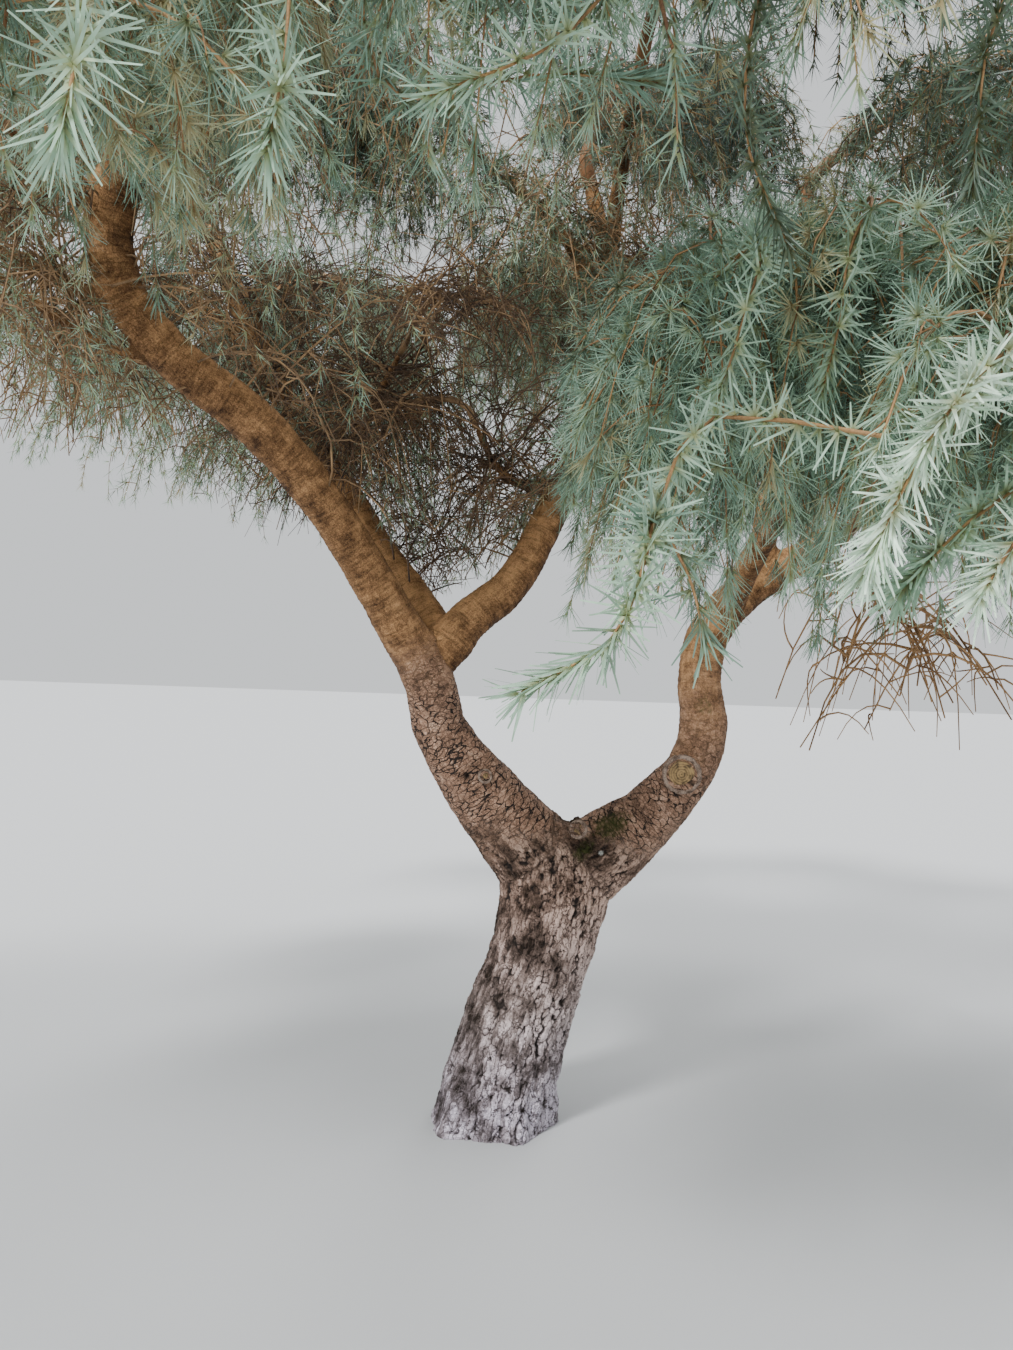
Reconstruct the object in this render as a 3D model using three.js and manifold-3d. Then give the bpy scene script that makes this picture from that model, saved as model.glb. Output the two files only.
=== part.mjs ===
// A weeping blue cedar, rooted in level ground, in millimetres with +Z up.
// The origin is the middle of the trunk's flat cut at ground level. -Y is the side that is seen first, and
// +X lies to its right. The trunk forks at knee height into two boughs. Limbs grow on from them under the
// crown, and each ends where a mass of foliage begins. Each mass is one solid: a stem that arches over and
// droops, side branches, and sprays of needles as toothed blades. A few masses inside are bare twigs.
import * as THREE from "three";
import { mergeVertices } from "three/addons/utils/BufferGeometryUtils.js";
import Module from "manifold-3d";

const wasm = await Module();
wasm.setup();

// Clearances
const JOINT_GAP = 0.4; // between two pieces that grow out of each other
const SPACE_GAP = 12; // from one mass of foliage to the next
const LIMB_GAP = 4; // from a twig or spray to a limb that it doesn't grow on
const SMALLEST_STEP = 1; // edges shorter than this are merged once a mass is joined
const MERGE_WITHIN = 0.001; // points of one surface that lie closer are one
const BALLS_PER_STATION = 10; // how finely a limb is told as balls that twigs keep off

// Trunk, as stations of [x, z, radius] at its middle plane
const TRUNK_STATIONS = [
  [-10, -80, 205],
  [0, 0, 184],
  [30, 160, 171],
  [77, 340, 163],
  [128, 500, 155],
  [161, 640, 163],
  [180, 760, 176],
  [176, 850, 132],
  [172, 905, 60],
];
const TRUNK_STEPS = 12;
const TRUNK_SIDES = 18;
const TRUNK_DEPTH_SHARE = 0.92; // the trunk is a little narrower from front to back
const FLARE_HEIGHT = 110; // the roots' swelling dies away over about this height
const FLARE_SWELL = 0.16; // how far the strongest root lobe swells the foot
const ROOT_LOBES = 5;
const LOBE_SKEW = 0.8; // sets the root lobes unevenly round the foot

// Limbs, in the order in which they grow out of the trunk and of each other
const STEPS_PER_STATION = 1.5;
const STUB_FOOT_SWELL = 1.12; // a pruning stub's foot is wider than its cut
const STUB_SIDES = 14;

// Stems and side branches of the masses
const FIRST_SEED = 21;
const FIRST_BARE_SEED = 51;
const TWIG_SIDES = 3;
const STEM_STEPS = 7;
const STEM_TIP_RADIUS = 8;
const STEM_FOOT_SHARE = 0.9; // of the radius of the limb's tip
const STEM_LEAD = 90; // length in which a stem keeps its limb's direction
const BRANCHES = 7; // on each stem
const BRANCH_STEPS = 3;
const BRANCH_RADII = [11, 7];
const BRANCH_PLACES = [0.08, 0.92]; // first and last branch, as shares of the stem
const BRANCH_TURN = [48, 78]; // degrees to either side of the stem's heading
const BRANCH_REACH = [0.8, 1.1];
const BRANCH_SHORTENING = 0.45; // how much shorter branches are at the stem's tip
const BRANCH_CLIMB = 0.35; // of a branch's own reach
const LEAFY_SAG = 0.65;
const BARE_SAG = 1.1;

// Sprays of needles, larger than life so that few of them fill the crown
const SPRAYS_PER_BRANCH = 2;
const SPRAYS_PER_STEM = 4;
const FIRST_SPRAY = 0.35; // where the first of them hangs, as a share of its twig
const SPRAY_SINK = 22; // how far back along its twig a spray is rooted, so that it is sunk well in
const SPRAY_DROP = [15, 70]; // degrees below level
const SPRAY_SWING = [-40, 40]; // degrees from its twig's heading
const SPRAY_ROLL = [0, 180]; // degrees about its own rib
const SPRAY_LENGTH = [360, 530];
const SPRAY_WIDTH = [148, 222];
const SPRAY_THICK = 9; // over a hundredth of the longest spray
const SPRAY_EDGE = [
  // as shares of the length and of half the width
  [0, 0.05],
  [0.4, 1],
  [0.36, 0.3],
  [0.76, 0.8],
  [0.71, 0.24],
];
const SPRAY_VALLEY = 2; // the point of that edge between the two tiers of needles
const SPRAY_RIB = [0.12, 0.56]; // where the rib is thickest, as shares of the length
const SPRAY_TRIALS = [0.2, 0.45, 0.7, 1]; // shares of the length where a spray is tried for room
const SPRAY_TRIAL_SIZE = 0.42; // of its width

// The seeded row of numbers, a linear congruential one
const ROW_FACTOR = 1664525;
const ROW_STEP = 1013904223;
const ROW_RANGE = 2 ** 32;

// Limbs by name: sides round them, and stations of [x, y, z, radius] along them.
const LIMBS = {
  left_bough: {
    sides: 12,
    stations: [
      [173, 0, 783, 150],
      [65, -10, 888, 132],
      [-88, -40, 1066, 105],
      [-195, -68, 1220, 84],
      [-238, -90, 1376, 79],
      [-357, -150, 1582, 68],
      [-519, -270, 1844, 62],
      [-701, -400, 2058, 67],
      [-924, -530, 2224, 61],
      [-1022, -590, 2350, 60],
      [-1047, -620, 2496, 58],
      [-987, -660, 2669, 57],
      [-900, -690, 2870, 48],
      [-890, -680, 3100, 36],
    ],
  },
  right_bough: {
    sides: 12,
    stations: [
      [200, 0, 755, 140],
      [311, -10, 852, 129],
      [446, -35, 966, 98],
      [571, -60, 1118, 78],
      [612, -62, 1240, 74],
      [601, -45, 1400, 67],
      [620, -30, 1530, 67],
      [690, -12, 1640, 66],
      [804, 5, 1730, 58],
      [1030, 30, 1880, 44],
      [1230, 30, 2120, 32],
    ],
  },
  middle_bough: {
    sides: 10,
    stations: [
      [-230, -80, 1410, 55],
      [-179, -60, 1495, 72],
      [-115, -30, 1576, 66],
      [-24, 15, 1655, 62],
      [42, 60, 1745, 58],
      [113, 120, 1904, 56],
      [192, 180, 2079, 52],
      [300, 240, 2380, 40],
      [310, 250, 2740, 32],
      [230, 230, 3060, 26],
    ],
  },
  back_left_bough: {
    sides: 10,
    stations: [
      [-223, -60, 1422, 50],
      [-235, 10, 1527, 66],
      [-306, 80, 1631, 63],
      [-431, 170, 1793, 56],
      [-598, 280, 2048, 51],
      [-856, 420, 2406, 46],
      [-1047, 550, 2770, 44],
      [-1200, 650, 3090, 34],
    ],
  },
  left_limb: {
    sides: 7,
    stations: [
      [-1010, -580, 2335, 30],
      [-1090, -592, 2338, 24],
      [-1178, -600, 2372, 20],
      [-1400, -580, 2470, 17],
      [-1620, -500, 2580, 14],
    ],
  },
  low_left_limb: {
    sides: 7,
    stations: [
      [-905, -515, 2205, 24],
      [-1004, -560, 2195, 17],
      [-1121, -640, 2235, 15],
      [-1270, -800, 2330, 14],
      [-1380, -960, 2400, 12],
    ],
  },
  front_left_limb: {
    sides: 7,
    stations: [
      [-960, -665, 2735, 42],
      [-985, -860, 2830, 36],
      [-960, -1080, 2850, 30],
      [-860, -1300, 2810, 24],
    ],
  },
  front_middle_limb: {
    sides: 7,
    stations: [
      [-900, -690, 2870, 42],
      [-740, -800, 2980, 34],
      [-480, -960, 3020, 28],
      [-230, -1160, 2960, 22],
    ],
  },
  middle_arm: {
    sides: 7,
    stations: [
      [175, 165, 2050, 30],
      [110, 148, 2031, 23],
      [47, 120, 2020, 18],
      [-13, 90, 2038, 16],
      [-66, 55, 2085, 14],
      [-120, -20, 2170, 12],
    ],
  },
  inner_arm: {
    sides: 7,
    stations: [
      [-610, 288, 2065, 26],
      [-540, 250, 2190, 20],
      [-450, 170, 2330, 16],
      [-380, 70, 2420, 12],
    ],
  },
  outer_left_arm: {
    sides: 7,
    stations: [
      [-1050, -625, 2530, 26],
      [-1150, -690, 2600, 20],
      [-1230, -780, 2660, 15],
    ],
  },
  low_right_arm: {
    sides: 7,
    stations: [
      [850, 10, 1750, 26],
      [890, -110, 1745, 18],
      [940, -220, 1720, 13],
    ],
  },
  front_top_limb: {
    sides: 7,
    stations: [
      [300, 248, 2800, 30],
      [310, 40, 3020, 26],
      [330, -260, 3180, 22],
    ],
  },
  back_limb: {
    sides: 7,
    stations: [
      [305, 245, 2480, 34],
      [300, 450, 2740, 28],
      [220, 800, 3000, 20],
    ],
  },
  back_left_limb: {
    sides: 7,
    stations: [
      [-880, 435, 2450, 36],
      [-1050, 640, 2640, 28],
      [-1320, 900, 2880, 20],
    ],
  },
  front_right_limb: {
    sides: 7,
    stations: [
      [670, -20, 1610, 46],
      [720, -240, 1790, 38],
      [760, -560, 1970, 30],
      [780, -860, 2050, 22],
    ],
  },
  outer_right_limb: {
    sides: 7,
    stations: [
      [1010, 28, 1860, 34],
      [1130, -200, 2010, 28],
      [1270, -600, 2140, 20],
    ],
  },
  back_right_limb: {
    sides: 7,
    stations: [
      [960, 24, 1830, 36],
      [1010, 330, 2150, 28],
      [1080, 760, 2520, 20],
    ],
  },
  side_right_limb: {
    sides: 7,
    stations: [
      [1090, 40, 1950, 30],
      [1200, 240, 2180, 26],
      [1340, 420, 2360, 20],
    ],
  },
  centre_top_limb: {
    sides: 7,
    stations: [
      [308, 250, 2620, 30],
      [140, 190, 2880, 26],
      [-120, 90, 3060, 20],
    ],
  },
  back_side_limb: {
    sides: 7,
    stations: [
      [-1000, 515, 2680, 32],
      [-900, 760, 2880, 26],
      [-760, 1040, 3000, 20],
    ],
  },
  top_right_limb: {
    sides: 7,
    stations: [
      [780, 2, 1712, 44],
      [830, 40, 2060, 38],
      [870, 50, 2480, 30],
      [900, 20, 2900, 24],
    ],
  },
};

// Where pruning has left a stub: its limb, foot, direction, length and radius.
const STUBS = [
  { on: "right_bough", foot: [571, -60, 1118], way: [-0.33, -0.94, 0.02], length: 104, radius: 46 },
  { on: "right_bough", foot: [290, -10, 905], way: [-0.36, -0.9, 0.24], length: 160, radius: 19 },
  { on: "left_bough", foot: [-88, -40, 1066], way: [0.3, -0.92, 0.24], length: 112, radius: 15 },
];

// Masses of foliage by name: the limb whose tip each grows from, the heading of its stem in degrees from +X
// towards +Y, how far that reaches, how steeply it climbs, how far it sags below that climb at its end, and
// how far its side branches spread, as a share of its reach.
const MASSES = {
  crown_top_foliage: {
    limb: "middle_bough", heading: 60, reach: 780, climb: 1500, sag: 1000, spread: 0.95,
  },
  centre_top_foliage: {
    limb: "centre_top_limb", heading: 195, reach: 780, climb: 950, sag: 850, spread: 0.9,
  },
  left_top_foliage: {
    limb: "left_bough", heading: 160, reach: 1050, climb: 1250, sag: 1200, spread: 0.75,
  },
  front_top_foliage: {
    limb: "front_top_limb", heading: 285, reach: 900, climb: 800, sag: 900, spread: 0.8,
  },
  right_top_foliage: {
    limb: "top_right_limb", heading: -8, reach: 1150, climb: 1200, sag: 1350, spread: 0.7,
  },
  back_left_top_foliage: {
    limb: "back_left_bough", heading: 150, reach: 900, climb: 1050, sag: 1050, spread: 0.75,
  },
  left_foliage: {
    limb: "left_limb", heading: 172, reach: 850, climb: 520, sag: 720, spread: 0.7,
  },
  low_left_foliage: {
    limb: "low_left_limb", heading: 218, reach: 1000, climb: 560, sag: 720, spread: 0.68,
  },
  front_left_foliage: {
    limb: "front_left_limb", heading: 290, reach: 830, climb: 260, sag: 1020, spread: 0.8,
  },
  front_middle_foliage: {
    limb: "front_middle_limb", heading: 285, reach: 1120, climb: 420, sag: 1400, spread: 0.62,
  },
  front_right_foliage: {
    limb: "front_right_limb", heading: 259, reach: 1200, climb: 460, sag: 830, spread: 0.58,
  },
  outer_right_foliage: {
    limb: "outer_right_limb", heading: 304, reach: 1150, climb: 480, sag: 860, spread: 0.66,
  },
  right_foliage: {
    limb: "right_bough", heading: -9, reach: 1050, climb: 620, sag: 960, spread: 0.68,
  },
  side_right_foliage: {
    limb: "side_right_limb", heading: 24, reach: 1050, climb: 620, sag: 820, spread: 0.66,
  },
  back_right_foliage: {
    limb: "back_right_limb", heading: 58, reach: 1150, climb: 700, sag: 780, spread: 0.66,
  },
  back_foliage: {
    limb: "back_limb", heading: 88, reach: 1250, climb: 760, sag: 760, spread: 0.66,
  },
  back_side_foliage: {
    limb: "back_side_limb", heading: 112, reach: 1000, climb: 700, sag: 800, spread: 0.7,
  },
  back_left_foliage: {
    limb: "back_left_limb", heading: 148, reach: 1000, climb: 560, sag: 680, spread: 0.7,
  },
};

// Bare twigs that hang inside the crown, told like the masses of foliage.
const BARE_MASSES = {
  middle_bare_twigs: {
    limb: "middle_arm", heading: 184, reach: 430, climb: 120, sag: 330, spread: 0.9,
  },
  inner_bare_twigs: {
    limb: "inner_arm", heading: 300, reach: 420, climb: 300, sag: 380, spread: 1,
  },
  outer_left_bare_twigs: {
    limb: "outer_left_arm", heading: 225, reach: 420, climb: 150, sag: 480, spread: 0.9,
  },
  low_right_bare_twigs: {
    limb: "low_right_arm", heading: 290, reach: 330, climb: 20, sag: 300, spread: 0.9,
  },
};

const TRUNK_BARK = { color: 0x75655a, roughness: 1, metalness: 0 };
const BOUGH_BARK = { color: 0x8a5a3a, roughness: 0.95, metalness: 0 };
const DEAD_TWIG = { color: 0x7d5532, roughness: 0.95, metalness: 0 };
const NEEDLES = { color: 0x6f958c, roughness: 0.75, metalness: 0 };

const X_AXIS = new THREE.Vector3(1, 0, 0);
const Y_AXIS = new THREE.Vector3(0, 1, 0);
const vector = ([x, y, z]) => new THREE.Vector3(x, y, z);
const radians = THREE.MathUtils.degToRad;
const mix = THREE.MathUtils.lerp;

// A seeded row of numbers from 0 to 1, the same on every run.
function seeded(seed) {
  let state = seed;
  return () => {
    state = (Math.imul(ROW_FACTOR, state) + ROW_STEP) >>> 0;
    return state / ROW_RANGE;
  };
}

// The next number of a seeded row, scaled to lie between two limits.
function between(random, [least, most]) {
  return mix(least, most, random());
}

// The value at a share from 0 to 1 of a list of evenly spaced values.
function valueAt(values, share) {
  const place = share * (values.length - 1);
  const i = Math.min(Math.floor(place), values.length - 2);
  return mix(values[i], values[i + 1], place - i);
}

// A closed geometry as a solid that can be cut and joined.
function solidOf(geometry) {
  geometry.deleteAttribute("normal");
  geometry.deleteAttribute("uv");
  const merged = mergeVertices(geometry, MERGE_WITHIN);
  const vertProperties = new Float32Array(merged.attributes.position.array);
  const triVerts = new Uint32Array(merged.index.array);
  return new wasm.Manifold(new wasm.Mesh({ numProp: 3, vertProperties, triVerts }));
}

// A solid as a named mesh of the scene.
function meshOf(name, solid, look) {
  const { vertProperties, triVerts } = solid.getMesh();
  const geometry = new THREE.BufferGeometry();
  geometry.setAttribute("position", new THREE.BufferAttribute(new Float32Array(vertProperties), 3));
  geometry.setIndex(new THREE.BufferAttribute(new Uint32Array(triVerts), 1));
  geometry.computeVertexNormals();
  const mesh = new THREE.Mesh(geometry, new THREE.MeshStandardMaterial({ ...look, flatShading: true }));
  mesh.name = name;
  return mesh;
}

// A cylinder bent along a curve. radius(share, angle) is the distance from the curve to its surface.
function sweep(curve, steps, sides, radius) {
  const geometry = new THREE.CylinderGeometry(1, 1, 1, sides, steps);
  const rings = [];
  let side = X_AXIS;
  for (let i = 0; i <= steps; i++) {
    const tangent = curve.getTangent(i / steps);
    side = side.clone().projectOnPlane(tangent).normalize();
    rings.push({ centre: curve.getPoint(i / steps), side, other: side.clone().cross(tangent) });
  }
  const position = geometry.attributes.position;
  for (let k = 0; k < position.count; k++) {
    const share = position.getY(k) + 0.5;
    const ring = rings[Math.round(share * steps)];
    const across = new THREE.Vector2(position.getX(k), position.getZ(k));
    const reach = across.length() * radius(share, across.angle());
    const place = ring.centre
      .clone()
      .addScaledVector(ring.side, reach * Math.cos(across.angle()))
      .addScaledVector(ring.other, reach * Math.sin(across.angle()));
    position.setXYZ(k, place.x, place.y, place.z);
  }
  return solidOf(geometry);
}

// The trunk, grown by a clearance: leaning, waisted, flared at its roots and rounded off inside the fork.
function trunkSolid(clearance) {
  const curve = new THREE.CatmullRomCurve3(TRUNK_STATIONS.map(([x, z]) => new THREE.Vector3(x, 0, z)));
  const radii = TRUNK_STATIONS.map(([, , r]) => r);
  const radius = (share, angle) => {
    const height = Math.max(0, curve.getPoint(share).z);
    const lobe = Math.max(0, Math.cos(ROOT_LOBES * angle + LOBE_SKEW * Math.sin(angle)));
    const swell = 1 + FLARE_SWELL * lobe * Math.exp(-height / FLARE_HEIGHT);
    const depth = Math.hypot(Math.cos(angle), Math.sin(angle) / TRUNK_DEPTH_SHARE);
    return (valueAt(radii, share) * swell) / depth + clearance;
  };
  return sweep(curve, TRUNK_STEPS, TRUNK_SIDES, radius).trimByPlane([0, 0, 1], 0);
}

function limbCurve(name) {
  return new THREE.CatmullRomCurve3(LIMBS[name].stations.map(vector));
}

function limbRadii(name) {
  return LIMBS[name].stations.map(([, , , r]) => r);
}

// A short round stub with a flat saw cut.
function stubSolid({ foot, way, length, radius }, clearance) {
  const cut = radius + clearance;
  const geometry = new THREE.CylinderGeometry(cut, cut * STUB_FOOT_SWELL, length, STUB_SIDES);
  geometry.translate(0, length / 2, 0);
  geometry.applyQuaternion(new THREE.Quaternion().setFromUnitVectors(Y_AXIS, vector(way).normalize()));
  geometry.translate(...foot);
  return solidOf(geometry);
}

// A limb with its pruning stubs, grown by a clearance, before it is cut to fit what it grows on.
function rawLimb(name, clearance) {
  const radii = limbRadii(name);
  const steps = Math.round(STEPS_PER_STATION * (radii.length - 1));
  const radius = (share) => valueAt(radii, share) + clearance;
  const stubs = STUBS.filter(({ on }) => on === name).map((stub) => stubSolid(stub, clearance));
  return wasm.Manifold.union([sweep(limbCurve(name), steps, LIMBS[name].sides, radius), ...stubs]);
}

// All the wood by name. Each limb is cut clear of the trunk and of the limbs before it, and a loose scrap
// is dropped.
function wood() {
  const solids = { trunk: trunkSolid(0) };
  const grown = [trunkSolid(JOINT_GAP)];
  for (const name of Object.keys(LIMBS)) {
    const fitted = rawLimb(name, 0).subtract(wasm.Manifold.union(grown));
    solids[name] = fitted.decompose().sort((a, b) => b.volume() - a.volume())[0];
    grown.push(rawLimb(name, JOINT_GAP));
  }
  return solids;
}

// Balls along every limb, for keeping twigs off them.
const LIMB_BALLS = Object.keys(LIMBS).flatMap((name) => {
  const curve = limbCurve(name);
  const radii = limbRadii(name);
  const count = BALLS_PER_STATION * radii.length;
  return Array.from({ length: count + 1 }, (_, i) => ({
    centre: curve.getPoint(i / count),
    radius: valueAt(radii, i / count),
  }));
});

// A line that sets off along a heading, climbs, and sags more the further it goes.
function arch(start, heading, reach, climb, sag, steps) {
  return Array.from({ length: steps + 1 }, (_, i) => {
    const share = i / steps;
    const rise = climb * share - sag * share * share;
    const ahead = reach * share;
    return new THREE.Vector3(ahead * Math.cos(heading), ahead * Math.sin(heading), rise).add(start);
  });
}

// A mass's stem: it leaves its limb's tip in the limb's own direction, and then arches over.
function stemPath({ limb, heading, reach, climb, sag }) {
  const curve = limbCurve(limb);
  const leaving = curve.getTangent(1);
  const foot = curve.getPoint(1).addScaledVector(leaving, JOINT_GAP);
  const bend = foot.clone().addScaledVector(leaving, STEM_LEAD);
  return [foot, ...arch(bend, radians(heading), reach, climb, sag, STEM_STEPS)];
}

const STEMS = Object.fromEntries(
  Object.entries({ ...MASSES, ...BARE_MASSES }).map(([name, mass]) => [name, stemPath(mass)]),
);

// The distance from a point to a line through points.
function distanceTo(path, point) {
  const nearest = new THREE.Vector3();
  const distances = path.slice(1).map((end, i) => {
    new THREE.Line3(path[i], end).closestPointToPoint(point, true, nearest);
    return nearest.distanceTo(point);
  });
  return Math.min(...distances);
}

// Whether a ball lies in a mass's own space: nearer to its stem than to any other, and clear of every limb.
function hasRoom(name, centre, radius) {
  const most = distanceTo(STEMS[name], centre) + 2 * radius + SPACE_GAP;
  const others = Object.keys(STEMS).filter((other) => other !== name);
  const alone = others.every((other) => distanceTo(STEMS[other], centre) >= most);
  const clear = ({ centre: middle, radius: size }) => middle.distanceTo(centre) > size + radius + LIMB_GAP;
  return alone && LIMB_BALLS.every(clear);
}

// A thin tapering twig through points.
function twig(points, thick, thin) {
  const curve = new THREE.CatmullRomCurve3(points);
  return sweep(curve, points.length - 1, TWIG_SIDES, (share) => mix(thick, thin, share));
}

// A spray of needles: a flat blade with two tiers of teeth, thickest along its rib.
function spray(root, way, length, width, roll) {
  const edge = SPRAY_EDGE.map(([x, y]) => [x * length, (y * width) / 2, 0]);
  const mirrored = edge.map(([x, y]) => [x, -y, 0]).reverse();
  const outline = [...edge, [length, 0, 0], ...mirrored];
  const sides = [SPRAY_THICK / 2, -SPRAY_THICK / 2];
  const rib = SPRAY_RIB.flatMap((x) => sides.map((z) => [x * length, 0, z]));
  const near = [outline.length, outline.length + 1];
  const far = [outline.length + 2, outline.length + 3];
  const otherValley = outline.length - 1 - SPRAY_VALLEY;
  const faces = [];
  outline.forEach((_, i) => {
    const next = (i + 1) % outline.length;
    const [above, below] = i >= SPRAY_VALLEY && i < otherValley ? far : near;
    faces.push(above, next, i, below, i, next);
  });
  faces.push(near[0], far[0], SPRAY_VALLEY, near[1], SPRAY_VALLEY, far[1]);
  faces.push(near[0], otherValley, far[0], near[1], far[1], otherValley);
  const geometry = new THREE.BufferGeometry();
  geometry.setAttribute("position", new THREE.Float32BufferAttribute([...outline, ...rib].flat(), 3));
  geometry.setIndex(faces);
  geometry.rotateX(roll);
  geometry.applyQuaternion(new THREE.Quaternion().setFromUnitVectors(X_AXIS, way));
  geometry.translate(root.x, root.y, root.z);
  return solidOf(geometry);
}

// Sprays along a twig's points, each where it has room for the whole of its length.
function hangSprays(name, points, heading, count, random) {
  const sprays = [];
  for (let i = 0; i < count; i++) {
    const share = mix(FIRST_SPRAY, 1, i / (count - 1));
    const at = Math.round(share * (points.length - 1));
    const back = points[at - 1].clone().sub(points[at]).normalize();
    const root = points[at].clone().addScaledVector(back, SPRAY_SINK);
    const drop = radians(between(random, SPRAY_DROP));
    const turn = heading + radians(between(random, SPRAY_SWING));
    const length = between(random, SPRAY_LENGTH);
    const width = between(random, SPRAY_WIDTH);
    const roll = radians(between(random, SPRAY_ROLL));
    const level = Math.cos(drop);
    const way = vector([level * Math.cos(turn), level * Math.sin(turn), -Math.sin(drop)]);
    const trials = SPRAY_TRIALS.map((part) => root.clone().addScaledVector(way, part * length));
    if (trials.every((centre) => hasRoom(name, centre, SPRAY_TRIAL_SIZE * width))) {
      sprays.push(spray(root, way, length, width, roll));
    }
  }
  return sprays;
}

// One mass: its stem, side branches to left and right in turn, and sprays unless its twigs are bare.
function massSolid(name, mass, seed, leafy) {
  const random = seeded(seed);
  const stem = STEMS[name];
  const foot = STEM_FOOT_SHARE * limbRadii(mass.limb).at(-1);
  const pieces = [twig(stem, foot, STEM_TIP_RADIUS)];
  for (let i = 0; i < BRANCHES; i++) {
    const share = mix(...BRANCH_PLACES, i / (BRANCHES - 1));
    const start = stem[1 + Math.round(share * STEM_STEPS)];
    const side = i % 2 ? 1 : -1;
    const heading = radians(mass.heading + side * between(random, BRANCH_TURN));
    const shortening = 1 - BRANCH_SHORTENING * share;
    const reach = mass.reach * mass.spread * shortening * between(random, BRANCH_REACH);
    const sag = reach * (leafy ? LEAFY_SAG : BARE_SAG);
    const points = arch(start, heading, reach, BRANCH_CLIMB * reach, sag, BRANCH_STEPS);
    const isFree = (point) => hasRoom(name, point, 2 * BRANCH_RADII[0]);
    while (points.length > 1 && !points.slice(1).every(isFree)) points.pop();
    if (points.length < BRANCH_STEPS) continue;
    pieces.push(twig(points, ...BRANCH_RADII));
    if (leafy) pieces.push(...hangSprays(name, points, heading, SPRAYS_PER_BRANCH, random));
  }
  if (leafy) {
    const hanging = stem.slice(2);
    pieces.push(...hangSprays(name, hanging, radians(mass.heading), SPRAYS_PER_STEM, random));
  }
  return wasm.Manifold.union(pieces).asOriginal().simplify(SMALLEST_STEP);
}

const tree = new THREE.Group();
for (const [name, solid] of Object.entries(wood())) {
  tree.add(meshOf(name, solid, name === "trunk" ? TRUNK_BARK : BOUGH_BARK));
}
Object.entries(MASSES).forEach(([name, mass], i) => {
  tree.add(meshOf(name, massSolid(name, mass, FIRST_SEED + i, true), NEEDLES));
});
Object.entries(BARE_MASSES).forEach(([name, mass], i) => {
  tree.add(meshOf(name, massSolid(name, mass, FIRST_BARE_SEED + i, false), DEAD_TWIG));
});

export default tree;
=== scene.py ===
"""A weeping blue cedar, dressed for its portrait.

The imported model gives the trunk, boughs and masses of foliage at their real size. This script grows the
fine wood and needles on the same limbs by the same rule, and gives the trunk and boughs a mesh with the
bark's relief.
"""

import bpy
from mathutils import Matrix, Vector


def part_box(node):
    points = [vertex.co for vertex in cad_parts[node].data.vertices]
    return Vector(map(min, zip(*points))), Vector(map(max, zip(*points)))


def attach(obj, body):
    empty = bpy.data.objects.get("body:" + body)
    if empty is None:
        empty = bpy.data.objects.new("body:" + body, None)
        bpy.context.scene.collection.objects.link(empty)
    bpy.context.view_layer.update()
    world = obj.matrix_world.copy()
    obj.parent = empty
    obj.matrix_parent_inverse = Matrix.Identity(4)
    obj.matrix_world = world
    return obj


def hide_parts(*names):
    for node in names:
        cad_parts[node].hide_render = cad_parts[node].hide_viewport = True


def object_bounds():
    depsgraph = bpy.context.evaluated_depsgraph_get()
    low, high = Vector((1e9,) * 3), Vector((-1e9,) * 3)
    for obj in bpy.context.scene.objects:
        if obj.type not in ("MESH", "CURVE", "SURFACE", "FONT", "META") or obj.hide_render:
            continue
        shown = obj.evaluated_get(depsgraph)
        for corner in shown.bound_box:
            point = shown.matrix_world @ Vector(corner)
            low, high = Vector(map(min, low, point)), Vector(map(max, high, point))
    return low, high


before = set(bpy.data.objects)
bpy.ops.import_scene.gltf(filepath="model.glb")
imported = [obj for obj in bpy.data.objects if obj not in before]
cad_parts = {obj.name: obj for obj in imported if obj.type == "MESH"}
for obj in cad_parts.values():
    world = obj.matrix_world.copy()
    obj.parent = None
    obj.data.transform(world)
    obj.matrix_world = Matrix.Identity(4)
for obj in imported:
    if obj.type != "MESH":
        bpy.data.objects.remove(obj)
PACKED_BOX = [list(corner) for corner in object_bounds()]

import logging
import math
from collections.abc import Callable
from dataclasses import dataclass, replace
from enum import Enum
from typing import Protocol

import bpy
import numpy as np
from mathutils import Matrix, Vector, noise

log = logging.getLogger("cedar")

Pair = tuple[float, float]
Triple = tuple[float, float, float]
Spots = tuple[tuple[Triple, float], ...]
Spans = tuple[tuple[str, float, float, int], ...]
Shares = tuple[tuple[str, float], ...]
Names = tuple[str, ...]
Rgba = tuple[float, float, float, float]
Station = tuple[float, float, float, float]
Group = tuple[np.ndarray, np.ndarray, np.ndarray]
Link = tuple[bpy.types.Node, str | int]
Value = float | str | tuple | Vector

MM = 0.001

# Clearances and the growing rule, as in the part's source, in millimetres
JOINT_GAP = 0.4
SPACE_GAP = 12
LIMB_GAP = 4
STEM_STEPS = 7
STEM_LEAD = 90
BRANCHES = 7
BRANCH_STEPS = 3
BRANCH_RADIUS = 11
BRANCH_PLACES = (0.08, 0.92)
BRANCH_TURN = (48, 78)
BRANCH_REACH = (0.8, 1.1)
BRANCH_SHORTENING = 0.45
BRANCH_CLIMB = 0.35
LEAFY_SAG = 0.65
BARE_SAG = 1.1
FIRST_SEED = 21
FIRST_BARE_SEED = 51
LIMB_POINTS = 24
STEM_POINTS = 9
BRANCH_POINTS = 7
SHOOT_POINTS = 12
OLIVE_SHARE = 0.07
SPRAYS_PER_BRANCH = 2
NUMBERS_PER_SPRAY = 5

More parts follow.
